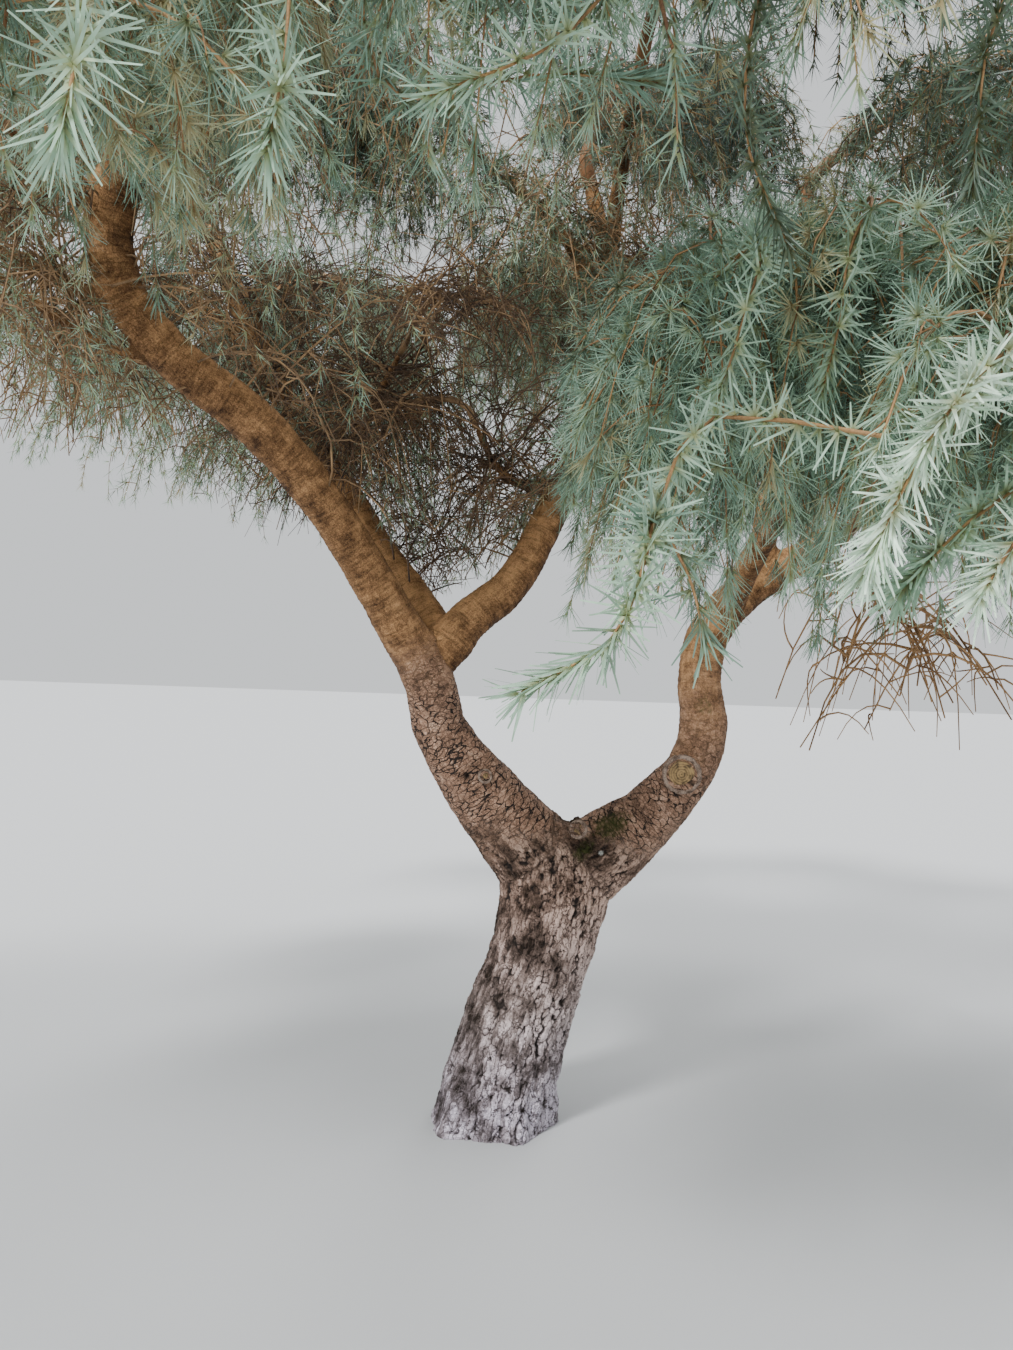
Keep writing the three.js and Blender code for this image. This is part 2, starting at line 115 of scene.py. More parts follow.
TRUNK_STATIONS = (
    (-10, 0, -80, 205), (0, 0, 0, 184), (30, 0, 160, 171), (77, 0, 340, 163), (128, 0, 500, 155),
    (161, 0, 640, 163), (180, 0, 760, 176), (176, 0, 850, 132), (172, 0, 905, 60),
)
TRUNK_AGES = (1, 1, 1, 1, 1, 1, 0.97, 0.93, 0.9)


@dataclass(frozen=True)
class LimbPlan:
    """A limb of the source: stations of (x, y, z, radius) in millimetres, and its bark's age at both ends.

    Age 1 is old fissured bark, and age 0 is the smooth bark of young wood.
    """

    name: str
    stations: tuple[Station, ...]
    ages: tuple[float, ...] = (0.1, 0.05)


LIMBS = (
    LimbPlan(
        "left_bough",
        (
            (173, 0, 783, 150), (65, -10, 888, 132), (-88, -40, 1066, 105), (-195, -68, 1220, 84),
            (-238, -90, 1376, 79), (-357, -150, 1582, 68), (-519, -270, 1844, 62), (-701, -400, 2058, 67),
            (-924, -530, 2224, 61), (-1022, -590, 2350, 60), (-1047, -620, 2496, 58),
            (-987, -660, 2669, 57), (-900, -690, 2870, 48), (-890, -680, 3100, 36),
        ),
        (0.93, 0.83, 0.72, 0.5, 0.25, 0.2, 0.15, 0.12, 0.1, 0.1),
    ),
    LimbPlan(
        "right_bough",
        (
            (200, 0, 755, 140), (311, -10, 852, 129), (446, -35, 966, 98), (571, -60, 1118, 78),
            (612, -62, 1240, 74), (601, -45, 1400, 67), (620, -30, 1530, 67), (690, -12, 1640, 66),
            (804, 5, 1730, 58), (1030, 30, 1880, 44), (1230, 30, 2120, 32),
        ),
        (0.93, 0.84, 0.66, 0.55, 0.5, 0.42, 0.3, 0.2, 0.15, 0.1),
    ),
    LimbPlan(
        "middle_bough",
        (
            (-230, -80, 1410, 55), (-179, -60, 1495, 72), (-115, -30, 1576, 66), (-24, 15, 1655, 62),
            (42, 60, 1745, 58), (113, 120, 1904, 56), (192, 180, 2079, 52), (300, 240, 2380, 40),
            (310, 250, 2740, 32), (230, 230, 3060, 26),
        ),
        (0.35, 0.3, 0.2, 0.1, 0.1),
    ),
    LimbPlan(
        "back_left_bough",
        (
            (-223, -60, 1422, 50), (-235, 10, 1527, 66), (-306, 80, 1631, 63), (-431, 170, 1793, 56),
            (-598, 280, 2048, 51), (-856, 420, 2406, 46), (-1047, 550, 2770, 44), (-1200, 650, 3090, 34),
        ),
        (0.35, 0.25, 0.2, 0.1),
    ),
    LimbPlan(
        "left_limb",
        (
            (-1010, -580, 2335, 30), (-1090, -592, 2338, 24), (-1178, -600, 2372, 20),
            (-1400, -580, 2470, 17), (-1620, -500, 2580, 14),
        ),
    ),
    LimbPlan(
        "low_left_limb",
        (
            (-905, -515, 2205, 24), (-1004, -560, 2195, 17), (-1121, -640, 2235, 15),
            (-1270, -800, 2330, 14), (-1380, -960, 2400, 12),
        ),
    ),
    LimbPlan(
        "front_left_limb",
        (
            (-960, -665, 2735, 42), (-985, -860, 2830, 36), (-960, -1080, 2850, 30),
            (-860, -1300, 2810, 24),
        ),
    ),
    LimbPlan(
        "front_middle_limb",
        ((-900, -690, 2870, 42), (-740, -800, 2980, 34), (-480, -960, 3020, 28), (-230, -1160, 2960, 22)),
    ),
    LimbPlan(
        "middle_arm",
        (
            (175, 165, 2050, 30), (110, 148, 2031, 23), (47, 120, 2020, 18), (-13, 90, 2038, 16),
            (-66, 55, 2085, 14), (-120, -20, 2170, 12),
        ),
    ),
    LimbPlan(
        "inner_arm",
        ((-610, 288, 2065, 26), (-540, 250, 2190, 20), (-450, 170, 2330, 16), (-380, 70, 2420, 12)),
    ),
    LimbPlan("outer_left_arm", ((-1050, -625, 2530, 26), (-1150, -690, 2600, 20), (-1230, -780, 2660, 15))),
    LimbPlan("low_right_arm", ((850, 10, 1750, 26), (890, -110, 1745, 18), (940, -220, 1720, 13))),
    LimbPlan("front_top_limb", ((300, 248, 2800, 30), (310, 40, 3020, 26), (330, -260, 3180, 22))),
    LimbPlan("back_limb", ((305, 245, 2480, 34), (300, 450, 2740, 28), (220, 800, 3000, 20))),
    LimbPlan("back_left_limb", ((-880, 435, 2450, 36), (-1050, 640, 2640, 28), (-1320, 900, 2880, 20))),
    LimbPlan(
        "front_right_limb",
        ((670, -20, 1610, 46), (720, -240, 1790, 38), (760, -560, 1970, 30), (780, -860, 2050, 22)),
        (0.2, 0.05),
    ),
    LimbPlan("outer_right_limb", ((1010, 28, 1860, 34), (1130, -200, 2010, 28), (1270, -600, 2140, 20))),
    LimbPlan("back_right_limb", ((960, 24, 1830, 36), (1010, 330, 2150, 28), (1080, 760, 2520, 20))),
    LimbPlan("side_right_limb", ((1090, 40, 1950, 30), (1200, 240, 2180, 26), (1340, 420, 2360, 20))),
    LimbPlan("centre_top_limb", ((308, 250, 2620, 30), (140, 190, 2880, 26), (-120, 90, 3060, 20))),
    LimbPlan("back_side_limb", ((-1000, 515, 2680, 32), (-900, 760, 2880, 26), (-760, 1040, 3000, 20))),
    LimbPlan(
        "top_right_limb",
        ((780, 2, 1712, 44), (830, 40, 2060, 38), (870, 50, 2480, 30), (900, 20, 2900, 24)),
        (0.15, 0.05),
    ),
)


@dataclass(frozen=True)
class MassPlan:
    """A mass of the source: its limb, and how its stem sets off, reaches, climbs, sags and spreads, in mm."""

    name: str
    limb: str
    heading: float
    reach: float
    climb: float
    sag: float
    spread: float


LEAFY_MASSES = (
    MassPlan("crown_top_foliage", "middle_bough", 60, 780, 1500, 1000, 0.95),
    MassPlan("centre_top_foliage", "centre_top_limb", 195, 780, 950, 850, 0.9),
    MassPlan("left_top_foliage", "left_bough", 160, 1050, 1250, 1200, 0.75),
    MassPlan("front_top_foliage", "front_top_limb", 285, 900, 800, 900, 0.8),
    MassPlan("right_top_foliage", "top_right_limb", -8, 1150, 1200, 1350, 0.7),
    MassPlan("back_left_top_foliage", "back_left_bough", 150, 900, 1050, 1050, 0.75),
    MassPlan("left_foliage", "left_limb", 172, 850, 520, 720, 0.7),
    MassPlan("low_left_foliage", "low_left_limb", 218, 1000, 560, 720, 0.68),
    MassPlan("front_left_foliage", "front_left_limb", 290, 830, 260, 1020, 0.8),
    MassPlan("front_middle_foliage", "front_middle_limb", 285, 1120, 420, 1400, 0.62),
    MassPlan("front_right_foliage", "front_right_limb", 259, 1200, 460, 830, 0.58),
    MassPlan("outer_right_foliage", "outer_right_limb", 304, 1150, 480, 860, 0.66),
    MassPlan("right_foliage", "right_bough", -9, 1050, 620, 960, 0.68),
    MassPlan("side_right_foliage", "side_right_limb", 24, 1050, 620, 820, 0.66),
    MassPlan("back_right_foliage", "back_right_limb", 58, 1150, 700, 780, 0.66),
    MassPlan("back_foliage", "back_limb", 88, 1250, 760, 760, 0.66),
    MassPlan("back_side_foliage", "back_side_limb", 112, 1000, 700, 800, 0.7),
    MassPlan("back_left_foliage", "back_left_limb", 148, 1000, 560, 680, 0.7),
)
BARE_MASSES = (
    MassPlan("middle_bare_twigs", "middle_arm", 184, 430, 120, 330, 0.9),
    MassPlan("inner_bare_twigs", "inner_arm", 300, 420, 300, 380, 1),
    MassPlan("outer_left_bare_twigs", "outer_left_arm", 225, 420, 150, 480, 0.9),
    MassPlan("low_right_bare_twigs", "low_right_arm", 290, 330, 20, 300, 0.9),
)


@dataclass(frozen=True)
class LeadingShoot:
    """A long shoot that stands out at the front: its lightness, if it is broad, and its way in mm."""

    lighter: float
    broad: bool
    points: tuple[Triple, ...]


# The broad shoots' high lightness deals them the palest tint, painted sunlight.
LEADING_SHOOTS = {
    "front_right_foliage": (
        LeadingShoot(
            0.08, False,
            (
                (225, -2000, 1710), (158, -2080, 1577), (142, -2120, 1522),
                (109, -2150, 1442), (16, -2150, 1383),
            ),
        ),
        LeadingShoot(0.02, False, ((158, -2080, 1577), (195, -2090, 1516), (216, -2090, 1446))),
        LeadingShoot(
            0.75, True,
            (
                (659, -1920, 1833), (560, -2000, 1770), (480, -2040, 1690),
                (425, -2070, 1600), (395, -2080, 1530),
            ),
        ),
        LeadingShoot(0.55, True, ((688, -1920, 1720), (539, -1980, 1593), (462, -2000, 1514))),
        LeadingShoot(
            0.9, True,
            (
                (640, -1960, 1830), (560, -2030, 1790), (500, -2060, 1730),
                (455, -2075, 1670),
            ),
        ),
        LeadingShoot(0.8, True, ((655, -1950, 1640), (590, -2010, 1575), (540, -2040, 1510))),
        LeadingShoot(0.1, False, ((318, -1850, 1990), (284, -1900, 1852), (251, -1930, 1748))),
        LeadingShoot(0.1, False, ((454, -1800, 2003), (428, -1850, 1887), (401, -1870, 1785))),
    ),
    "front_middle_foliage": (
        LeadingShoot(-0.1, False, ((-220, -2240, 2108), (-220, -2280, 1951), (-228, -2300, 1860))),
        LeadingShoot(0.0, False, ((112, -2150, 2165), (31, -2200, 2028), (-91, -2240, 1946))),
        LeadingShoot(0.0, False, ((311, -1880, 2342), (278, -1920, 2098), (331, -1950, 1935))),
        LeadingShoot(0.1, False, ((602, -1900, 2325), (577, -1920, 2196), (553, -1950, 2017))),
        LeadingShoot(0.0, False, ((-170, -1880, 2150), (20, -1900, 2172), (180, -1900, 2165))),
    ),
    "front_left_foliage": (
        LeadingShoot(-0.1, False, ((-341, -2400, 1977), (-346, -2420, 1869), (-352, -2430, 1800))),
    ),
}


@dataclass(frozen=True)
class Stub:
    """A pruned branch: where it starts, its way, its length and its cut's radius, in mm."""

    foot: Triple
    way: Triple
    length: float
    radius: float

    def rays(self, past: float, spokes: int) -> Group:
        """The cut's centre, so many mm past its face, the stub's way, and even ways out round it."""
        way = np.array(self.way) / np.linalg.norm(self.way)
        side = unit(np.cross(way, (0, 0, 1)))
        other = np.cross(way, side)
        turn = np.arange(spokes) * 2 * math.pi / spokes
        out = np.cos(turn)[:, None] * side + np.sin(turn)[:, None] * other
        return (np.array(self.foot) + way * (self.length + past)) * MM, way, out


STUBS = (
    Stub((571, -60, 1118), (-0.33, -0.94, 0.02), 108, 46),
    Stub((290, -10, 905), (-0.36, -0.90, 0.24), 166, 19),
    Stub((-88, -40, 1066), (0.3, -0.92, 0.24), 112, 15),
)


def catmull_rom(points: np.ndarray, shares: np.ndarray) -> np.ndarray:
    """Places on the centripetal curve through points, as the source's curves run.

    Args:
        points: the stations, one row each.
        shares: where to sample the curve, from 0 to 1.

    Returns:
        One row for each share.
    """
    first = 2 * points[0] - points[1]
    last = 2 * points[-1] - points[-2]
    padded = np.vstack([first, points, last])
    place = np.clip(shares, 0, 1) * (len(points) - 1)
    i = np.minimum(place.astype(int), len(points) - 2)
    p0, p1, p2, p3 = (padded[i + k] for k in range(4))
    steps = [np.sqrt(np.linalg.norm(b - a, axis=1)) + 1e-9 for a, b in ((p0, p1), (p1, p2), (p2, p3))]
    d0, d1, d2 = (s[:, None] for s in steps)
    m1 = ((p1 - p0) / d0 - (p2 - p0) / (d0 + d1) + (p2 - p1) / d1) * d1
    m2 = ((p2 - p1) / d1 - (p3 - p1) / (d1 + d2) + (p3 - p2) / d2) * d1
    t = (place - i)[:, None]
    a = 2 * p1 - 2 * p2 + m1 + m2
    b = -3 * p1 + 3 * p2 - 2 * m1 - m2
    return a * t**3 + b * t**2 + m1 * t + p1


def unit(vectors: np.ndarray) -> np.ndarray:
    """Vectors scaled to length one, along the last axis."""
    return vectors / (np.linalg.norm(vectors, axis=-1, keepdims=True) + 1e-12)


def smooth_step(low: float, high: float, values: np.ndarray) -> np.ndarray:
    """0 below low, 1 above high, and an easy curve between them."""
    t = np.clip((values - low) / (high - low), 0, 1)
    return t * t * (3 - 2 * t)


def point_along(paths: np.ndarray, shares: np.ndarray) -> np.ndarray:
    """One point on each path, at its own share of the path's steps."""
    place = np.clip(shares, 0, 1) * (paths.shape[1] - 1)
    i = np.minimum(place.astype(int), paths.shape[1] - 2)
    rows = np.arange(len(paths))
    part = (place - i)[:, None]
    return paths[rows, i] * (1 - part) + paths[rows, i + 1] * part


class LimbLine:
    """A limb's middle line, finely sampled in metres, with a frame that turns with it."""

    def __init__(
        self, name: str, stations: tuple[Station, ...], ages: tuple[float, ...], samples: int
    ) -> None:
        """Samples the limb.

        Args:
            name: the limb's name.
            stations: (x, y, z, radius) in millimetres.
            ages: its bark's ages, evenly spread from foot to tip.
            samples: how many places are kept.
        """
        table = np.array(stations, float) * MM
        shares = np.linspace(0, 1, samples)
        self.name = name
        self.centres = catmull_rom(table[:, :3], shares)
        self.radii = np.interp(shares, np.linspace(0, 1, len(table)), table[:, 3])
        self.ages = np.interp(shares, np.linspace(0, 1, len(ages)), ages)
        self.tangents = unit(np.gradient(self.centres, axis=0))
        steps = np.linalg.norm(np.diff(self.centres, axis=0), axis=1)
        self.lengths = np.concatenate([[0], np.cumsum(steps)])
        sides = [unit(np.cross(self.tangents[0], (0, 1, 0.01)))]
        for tangent in self.tangents[1:]:
            sides.append(unit(sides[-1] - tangent * np.dot(sides[-1], tangent)))
        self.sides = np.array(sides)
        self.others = np.cross(self.tangents, self.sides)


class Seeded:
    """The source's row of seeded numbers from 0 to 1."""

    def __init__(self, seed: int) -> None:
        """Starts the row at a seed."""
        self.state = seed

    def next(self) -> float:
        """The next number."""
        self.state = (1664525 * self.state + 1013904223) & 0xFFFFFFFF
        return self.state / 2**32

    def between(self, limits: Pair) -> float:
        """The next number, scaled to lie between two limits."""
        return limits[0] + (limits[1] - limits[0]) * self.next()


def arch(start: np.ndarray, heading: float, reach: float, climb: float, sag: float, steps: int) -> np.ndarray:
    """A line that sets off along a heading, climbs, and sags more the further it goes.

    Args:
        start: where it starts, in metres.
        heading: compass heading in radians, from +X towards +Y.
        reach: how far it goes along the heading.
        climb: how far it would rise.
        sag: how far it hangs below that rise at its end.
        steps: how many steps it takes.

    Returns:
        steps + 1 points.
    """
    share = np.linspace(0, 1, steps + 1)
    way = np.stack([reach * share * math.cos(heading), reach * share * math.sin(heading)], axis=1)
    rise = climb * share - sag * share**2
    return start + np.column_stack([way, rise])


@dataclass
class Shoots:
    """Twigs of one order: their paths, all with the same number of points, and their headings in radians."""

    paths: np.ndarray
    headings: np.ndarray

    @classmethod
    def of(cls, paths: list[np.ndarray], headings: list[float], points: int) -> "Shoots":
        """Single paths of any number of points, brought to one number of points."""
        shares = np.linspace(0, 1, points)
        return cls(np.array([catmull_rom(path, shares) for path in paths]), np.array(headings))

    def __len__(self) -> int:
        """How many twigs there are."""
        return len(self.paths)

    def outer(self, share: float) -> "Shoots":
        """The part of every twig beyond a share of its steps."""
        shares = np.linspace(share, 1, self.paths.shape[1])
        rows = [point_along(self.paths, np.full(len(self), s)) for s in shares]
        return Shoots(np.stack(rows, axis=1), self.headings)

    def chosen(self, which: np.ndarray) -> "Shoots":
        """The twigs for which which is true."""
        return Shoots(self.paths[which], self.headings[which])

    def lengths(self) -> np.ndarray:
        """The length of every twig."""
        return np.linalg.norm(np.diff(self.paths, axis=1), axis=2).sum(1)


@dataclass(frozen=True)
class NeedleForm:
    """The size of needles and how closely their whorls stand, in metres.

    A blade keeps most of its width to its tip, and costs two triangles where a spike costs one.
    """

    step: float
    each: int
    length: Pair
    width: float
    spur: float
    blade: bool


@dataclass(frozen=True)
class TwigHabit:
    """How twigs of one order grow on their parents: their number, angles in degrees, lengths in metres."""

    each: int
    places: Pair
    turn: Pair
    reach: Pair
    climb: Pair
    sag: Pair
    room: float
    curl: float = 0.25
    steps: int = 5


@dataclass(frozen=True)
class Girth:
    """A twig's radius at its foot and at its tip, in metres, and its faces round."""

    foot: float
    tip: float
    sides: int = 3

    def stouter(self, times: float) -> "Girth":
        """The same girth, so many times as stout."""
        return Girth(self.foot * times, self.tip * times, self.sides)


def tubes(paths: np.ndarray, girth: Girth) -> tuple[np.ndarray, np.ndarray]:
    """Twigs as tapering tubes.

    Args:
        paths: the twigs' points.
        girth: how thick they are.

    Returns:
        Vertices, and quads as rows of four vertex numbers.
    """
    count, points = paths.shape[:2]
    sides = girth.sides
    taper = np.linspace(girth.foot, girth.tip, points)[None, :, None, None]
    tangents = unit(np.gradient(paths, axis=1))
    side = unit(np.cross(tangents, np.array([0.31, 0.23, 0.92])))
    other = np.cross(tangents, side)
    angles = np.arange(sides) * 2 * math.pi / sides
    ring = side[:, :, None] * np.cos(angles)[None, None, :, None]
    ring = ring + other[:, :, None] * np.sin(angles)[None, None, :, None]
    vertices = paths[:, :, None] + ring * taper
    base = (np.arange(count) * points * sides)[:, None, None]
    row = (np.arange(points - 1) * sides)[None, :, None]
    k = np.arange(sides)[None, None]
    after = (k + 1) % sides
    corners = [base + row + k, base + row + after, base + row + sides + after, base + row + sides + k]
    return vertices.reshape(-1, 3), np.stack(corners, axis=-1).reshape(-1, 4)


def keep_values(mesh: bpy.types.Mesh, label: str, values: np.ndarray) -> None:
    """Stores a value or a vector of each vertex as an attribute of a mesh."""
    kind, key = ("FLOAT", "value") if values.ndim == 1 else ("FLOAT_VECTOR", "vector")
    store = mesh.attributes.new(label, kind, "POINT")
    store.data.foreach_set(key, values.astype(np.float32).ravel())


class Finish(Protocol):
    """A finish, which makes its material."""

    def material(self) -> bpy.types.Material:
        """Builds the material."""


class MeshStore:
    """Gathers small things of one kind, and makes them joined pieces that each stay under a size."""

    LARGEST = 190000
    SLIGHT_SIDES = 3

    def __init__(self, name: str, finish: Finish, smooth: bool) -> None:
        """Starts an empty store.

        Args:
            name: the pieces' name.
            finish: the finish they get.
            smooth: whether their faces are shaded smooth.
        """
        self.name = name
        self.finish = finish
        self.smooth = smooth
        self.groups: list[Group] = []

    def add(self, vertices: np.ndarray, faces: np.ndarray, along: np.ndarray | None = None) -> None:
        """Keeps one more group, with each vertex's place along its needle or twig from 0 to 1."""
        if along is None:
            along = np.zeros(len(vertices))
        if len(faces):
            self.groups.append((vertices, faces, along))

    def add_twigs(self, paths: np.ndarray, girth: Girth) -> None:
        """Keeps twigs as tapering tubes, closed at their tips, and the stouter ones at their feet too."""
        vertices, faces = tubes(paths, girth)
        self.add(vertices, faces)
        rings = vertices.reshape(*paths.shape[:2], girth.sides, 3)
        ends = [rings[:, -1]]
        if girth.sides > self.SLIGHT_SIDES:
            ends.append(rings[:, 0, ::-1])
        for end in ends:
            self.add(end.reshape(-1, 3), np.arange(len(paths) * girth.sides).reshape(-1, girth.sides))

    def batches(self) -> list[list[Group]]:
        """The groups dealt into batches under the largest size."""
        batches, size = [[]], 0
        for group in self.groups:
            triangles = len(group[1]) * (group[1].shape[1] - 2)
            if size + triangles > self.LARGEST and batches[-1]:
                batches.append([])
                size = 0
            batches[-1].append(group)
            size += triangles
        return [batch for batch in batches if batch]

    def pieces(self) -> list[bpy.types.Object]:
        """Makes the joined pieces, dressed."""
        material = self.finish.material()
        made = []
        for number, batch in enumerate(self.batches()):
            piece = self.join(f"{self.name}_{number + 1}", batch)
            piece.data.materials.append(material)
            made.append(piece)
        return made

    def join(self, name: str, batch: list[Group]) -> bpy.types.Object:
        """One object at the origin from a batch of groups."""
        starts = np.cumsum([0] + [len(vertices) for vertices, _, _ in batch])
        loops = np.concatenate([(faces + begin).ravel() for (_, faces, _), begin in zip(batch, starts)])
        sizes = np.concatenate([np.full(len(faces), faces.shape[1]) for _, faces, _ in batch])
        vertices = np.vstack([vertices for vertices, _, _ in batch])
        along = np.concatenate([values for _, _, values in batch])
        mesh = bpy.data.meshes.new(name)
        mesh.vertices.add(len(vertices))
        mesh.vertices.foreach_set("co", vertices.astype(np.float32).ravel())
        mesh.loops.add(len(loops))
        mesh.loops.foreach_set("vertex_index", loops.astype(np.int32))
        mesh.polygons.add(len(sizes))
        begins = np.concatenate([[0], np.cumsum(sizes)[:-1]])
        mesh.polygons.foreach_set("loop_start", begins.astype(np.int32))
        mesh.polygons.foreach_set("use_smooth", np.full(len(sizes), self.smooth))
        mesh.update(calc_edges=True)
        keep_values(mesh, "along", along)
        piece = bpy.data.objects.new(name, mesh)
        bpy.context.scene.collection.objects.link(piece)
        return piece


def grey(value: float) -> Triple:
    """A grey as a colour."""
    return (value, value, value)


class Nodes:
    """A short hand for building a material's node tree."""

    def __init__(self, name: str) -> None:
        """Starts an empty material with a Principled shader."""
        self.material = bpy.data.materials.new(name)
        self.material.use_nodes = True
        self.tree = self.material.node_tree
        self.shader = self.tree.nodes["Principled BSDF"]

    def add(self, kind: str, inputs: dict[str | int, Value] | None = None, **settings: str) -> bpy.types.Node:
        """A new node.

        Args:
            kind: its type name without the ShaderNode prefix.
            inputs: values for its sockets by name, or a (node, output) pair to link.
            settings: its own properties.

        Returns:
            The node.
        """
        node = self.tree.nodes.new("ShaderNode" + kind)
        for key, value in settings.items():
            setattr(node, key, value)
        for key, value in (inputs or {}).items():
            self.put(node, key, value)
        return node

    def put(self, node: bpy.types.Node, key: str | int, value: Value) -> None:
        """Sets one socket, or links it where value is a (node, output) pair."""
        if isinstance(value, tuple) and len(value) == 2 and isinstance(value[0], bpy.types.Node):
            self.tree.links.new(value[0].outputs[value[1]], node.inputs[key])
        elif isinstance(value, tuple) and len(value) == 3 and node.inputs[key].type == "RGBA":
            node.inputs[key].default_value = (*value, 1)
        else:
            node.inputs[key].default_value = value

    def attribute(self, name: str, output: str = "Fac") -> Link:
        """The output of an attribute that the mesh carries."""
        return self.add("Attribute", attribute_name=name), output

    def ramp(self, source: Link, stops: list[tuple[float, Triple]]) -> Link:
        """The output of a colour ramp over a value, with its stops as (place, colour)."""
        node = self.add("ValToRGB", {"Fac": source})
        elements = node.color_ramp.elements
        while len(elements) < len(stops):
            elements.new(0.5)
        for element, (place, colour) in zip(elements, stops):
            element.position = place
            element.color = (*colour, 1)
        return node, 0

    def mix(self, factor: Value, first: Value, second: Value, blend: str = "MIX") -> Link:
        """The output of a colour mix of two colours or links."""
        node = self.add("Mix", data_type="RGBA", blend_type=blend)
        self.put(node, 0, factor)
        self.put(node, 6, first)
        self.put(node, 7, second)
        return node, 2

    def math(self, kind: str, first: Value, second: Value) -> Link:
        """The output of a sum on two values or links."""
        node = self.add("Math", operation=kind)
        self.put(node, 0, first)
        self.put(node, 1, second)
        return node, 0

    def noise(self, place: Link, scale: float, detail: float, stretch: Triple | None = None) -> Link:
        """The output of a noise, with its pattern stretched where wanted."""
        if stretch:
            place = (self.add("Mapping", {"Vector": place, "Scale": Vector(stretch)}), 0)
        return self.add("TexNoise", {"Vector": place, "Scale": scale, "Detail": detail, "Roughness": 0.62}), 0

    def ragged(self, place: Link, scale: float, amount: float) -> Link:
        """A place pushed about by a noise, so that what is drawn at it gets ragged edges."""
        push = self.add("TexNoise", {"Vector": place, "Scale": scale, "Detail": 3}), 1
        inputs = {0: push, 1: Vector((amount,) * 3), 2: place}
        return self.add("VectorMath", inputs, operation="MULTIPLY_ADD"), 0

    def cells(self, place: Link, scale: float, stretch: Triple, feature: str, output: str) -> Link:
        """One output of a pattern of cells."""
        place = (self.add("Mapping", {"Vector": place, "Scale": Vector(stretch)}), 0)
        return self.add("TexVoronoi", {"Vector": place, "Scale": scale}, feature=feature), output

    def total(self, *parts: tuple[Link, float]) -> Link:
        """The sum of values, each times its weight."""
        value, weight = parts[0]
        whole = self.math("MULTIPLY", value, weight)
        for value, weight in parts[1:]:
            node = self.add("Math", {0: value, 1: weight, 2: whole}, operation="MULTIPLY_ADD")
            whole = (node, 0)
        return whole

    def dress(self, colour: Link, roughness: float) -> None:
        """Gives the shader its colour and roughness."""
        self.put(self.shader, "Base Color", colour)
        self.shader.inputs["Roughness"].default_value = roughness

    def bump(self, height: Link, strength: float, distance: float) -> None:
        """Gives the shader fine relief."""
        node = self.add("Bump", {"Height": height, "Strength": strength, "Distance": distance})
        self.put(self.shader, "Normal", (node, 0))


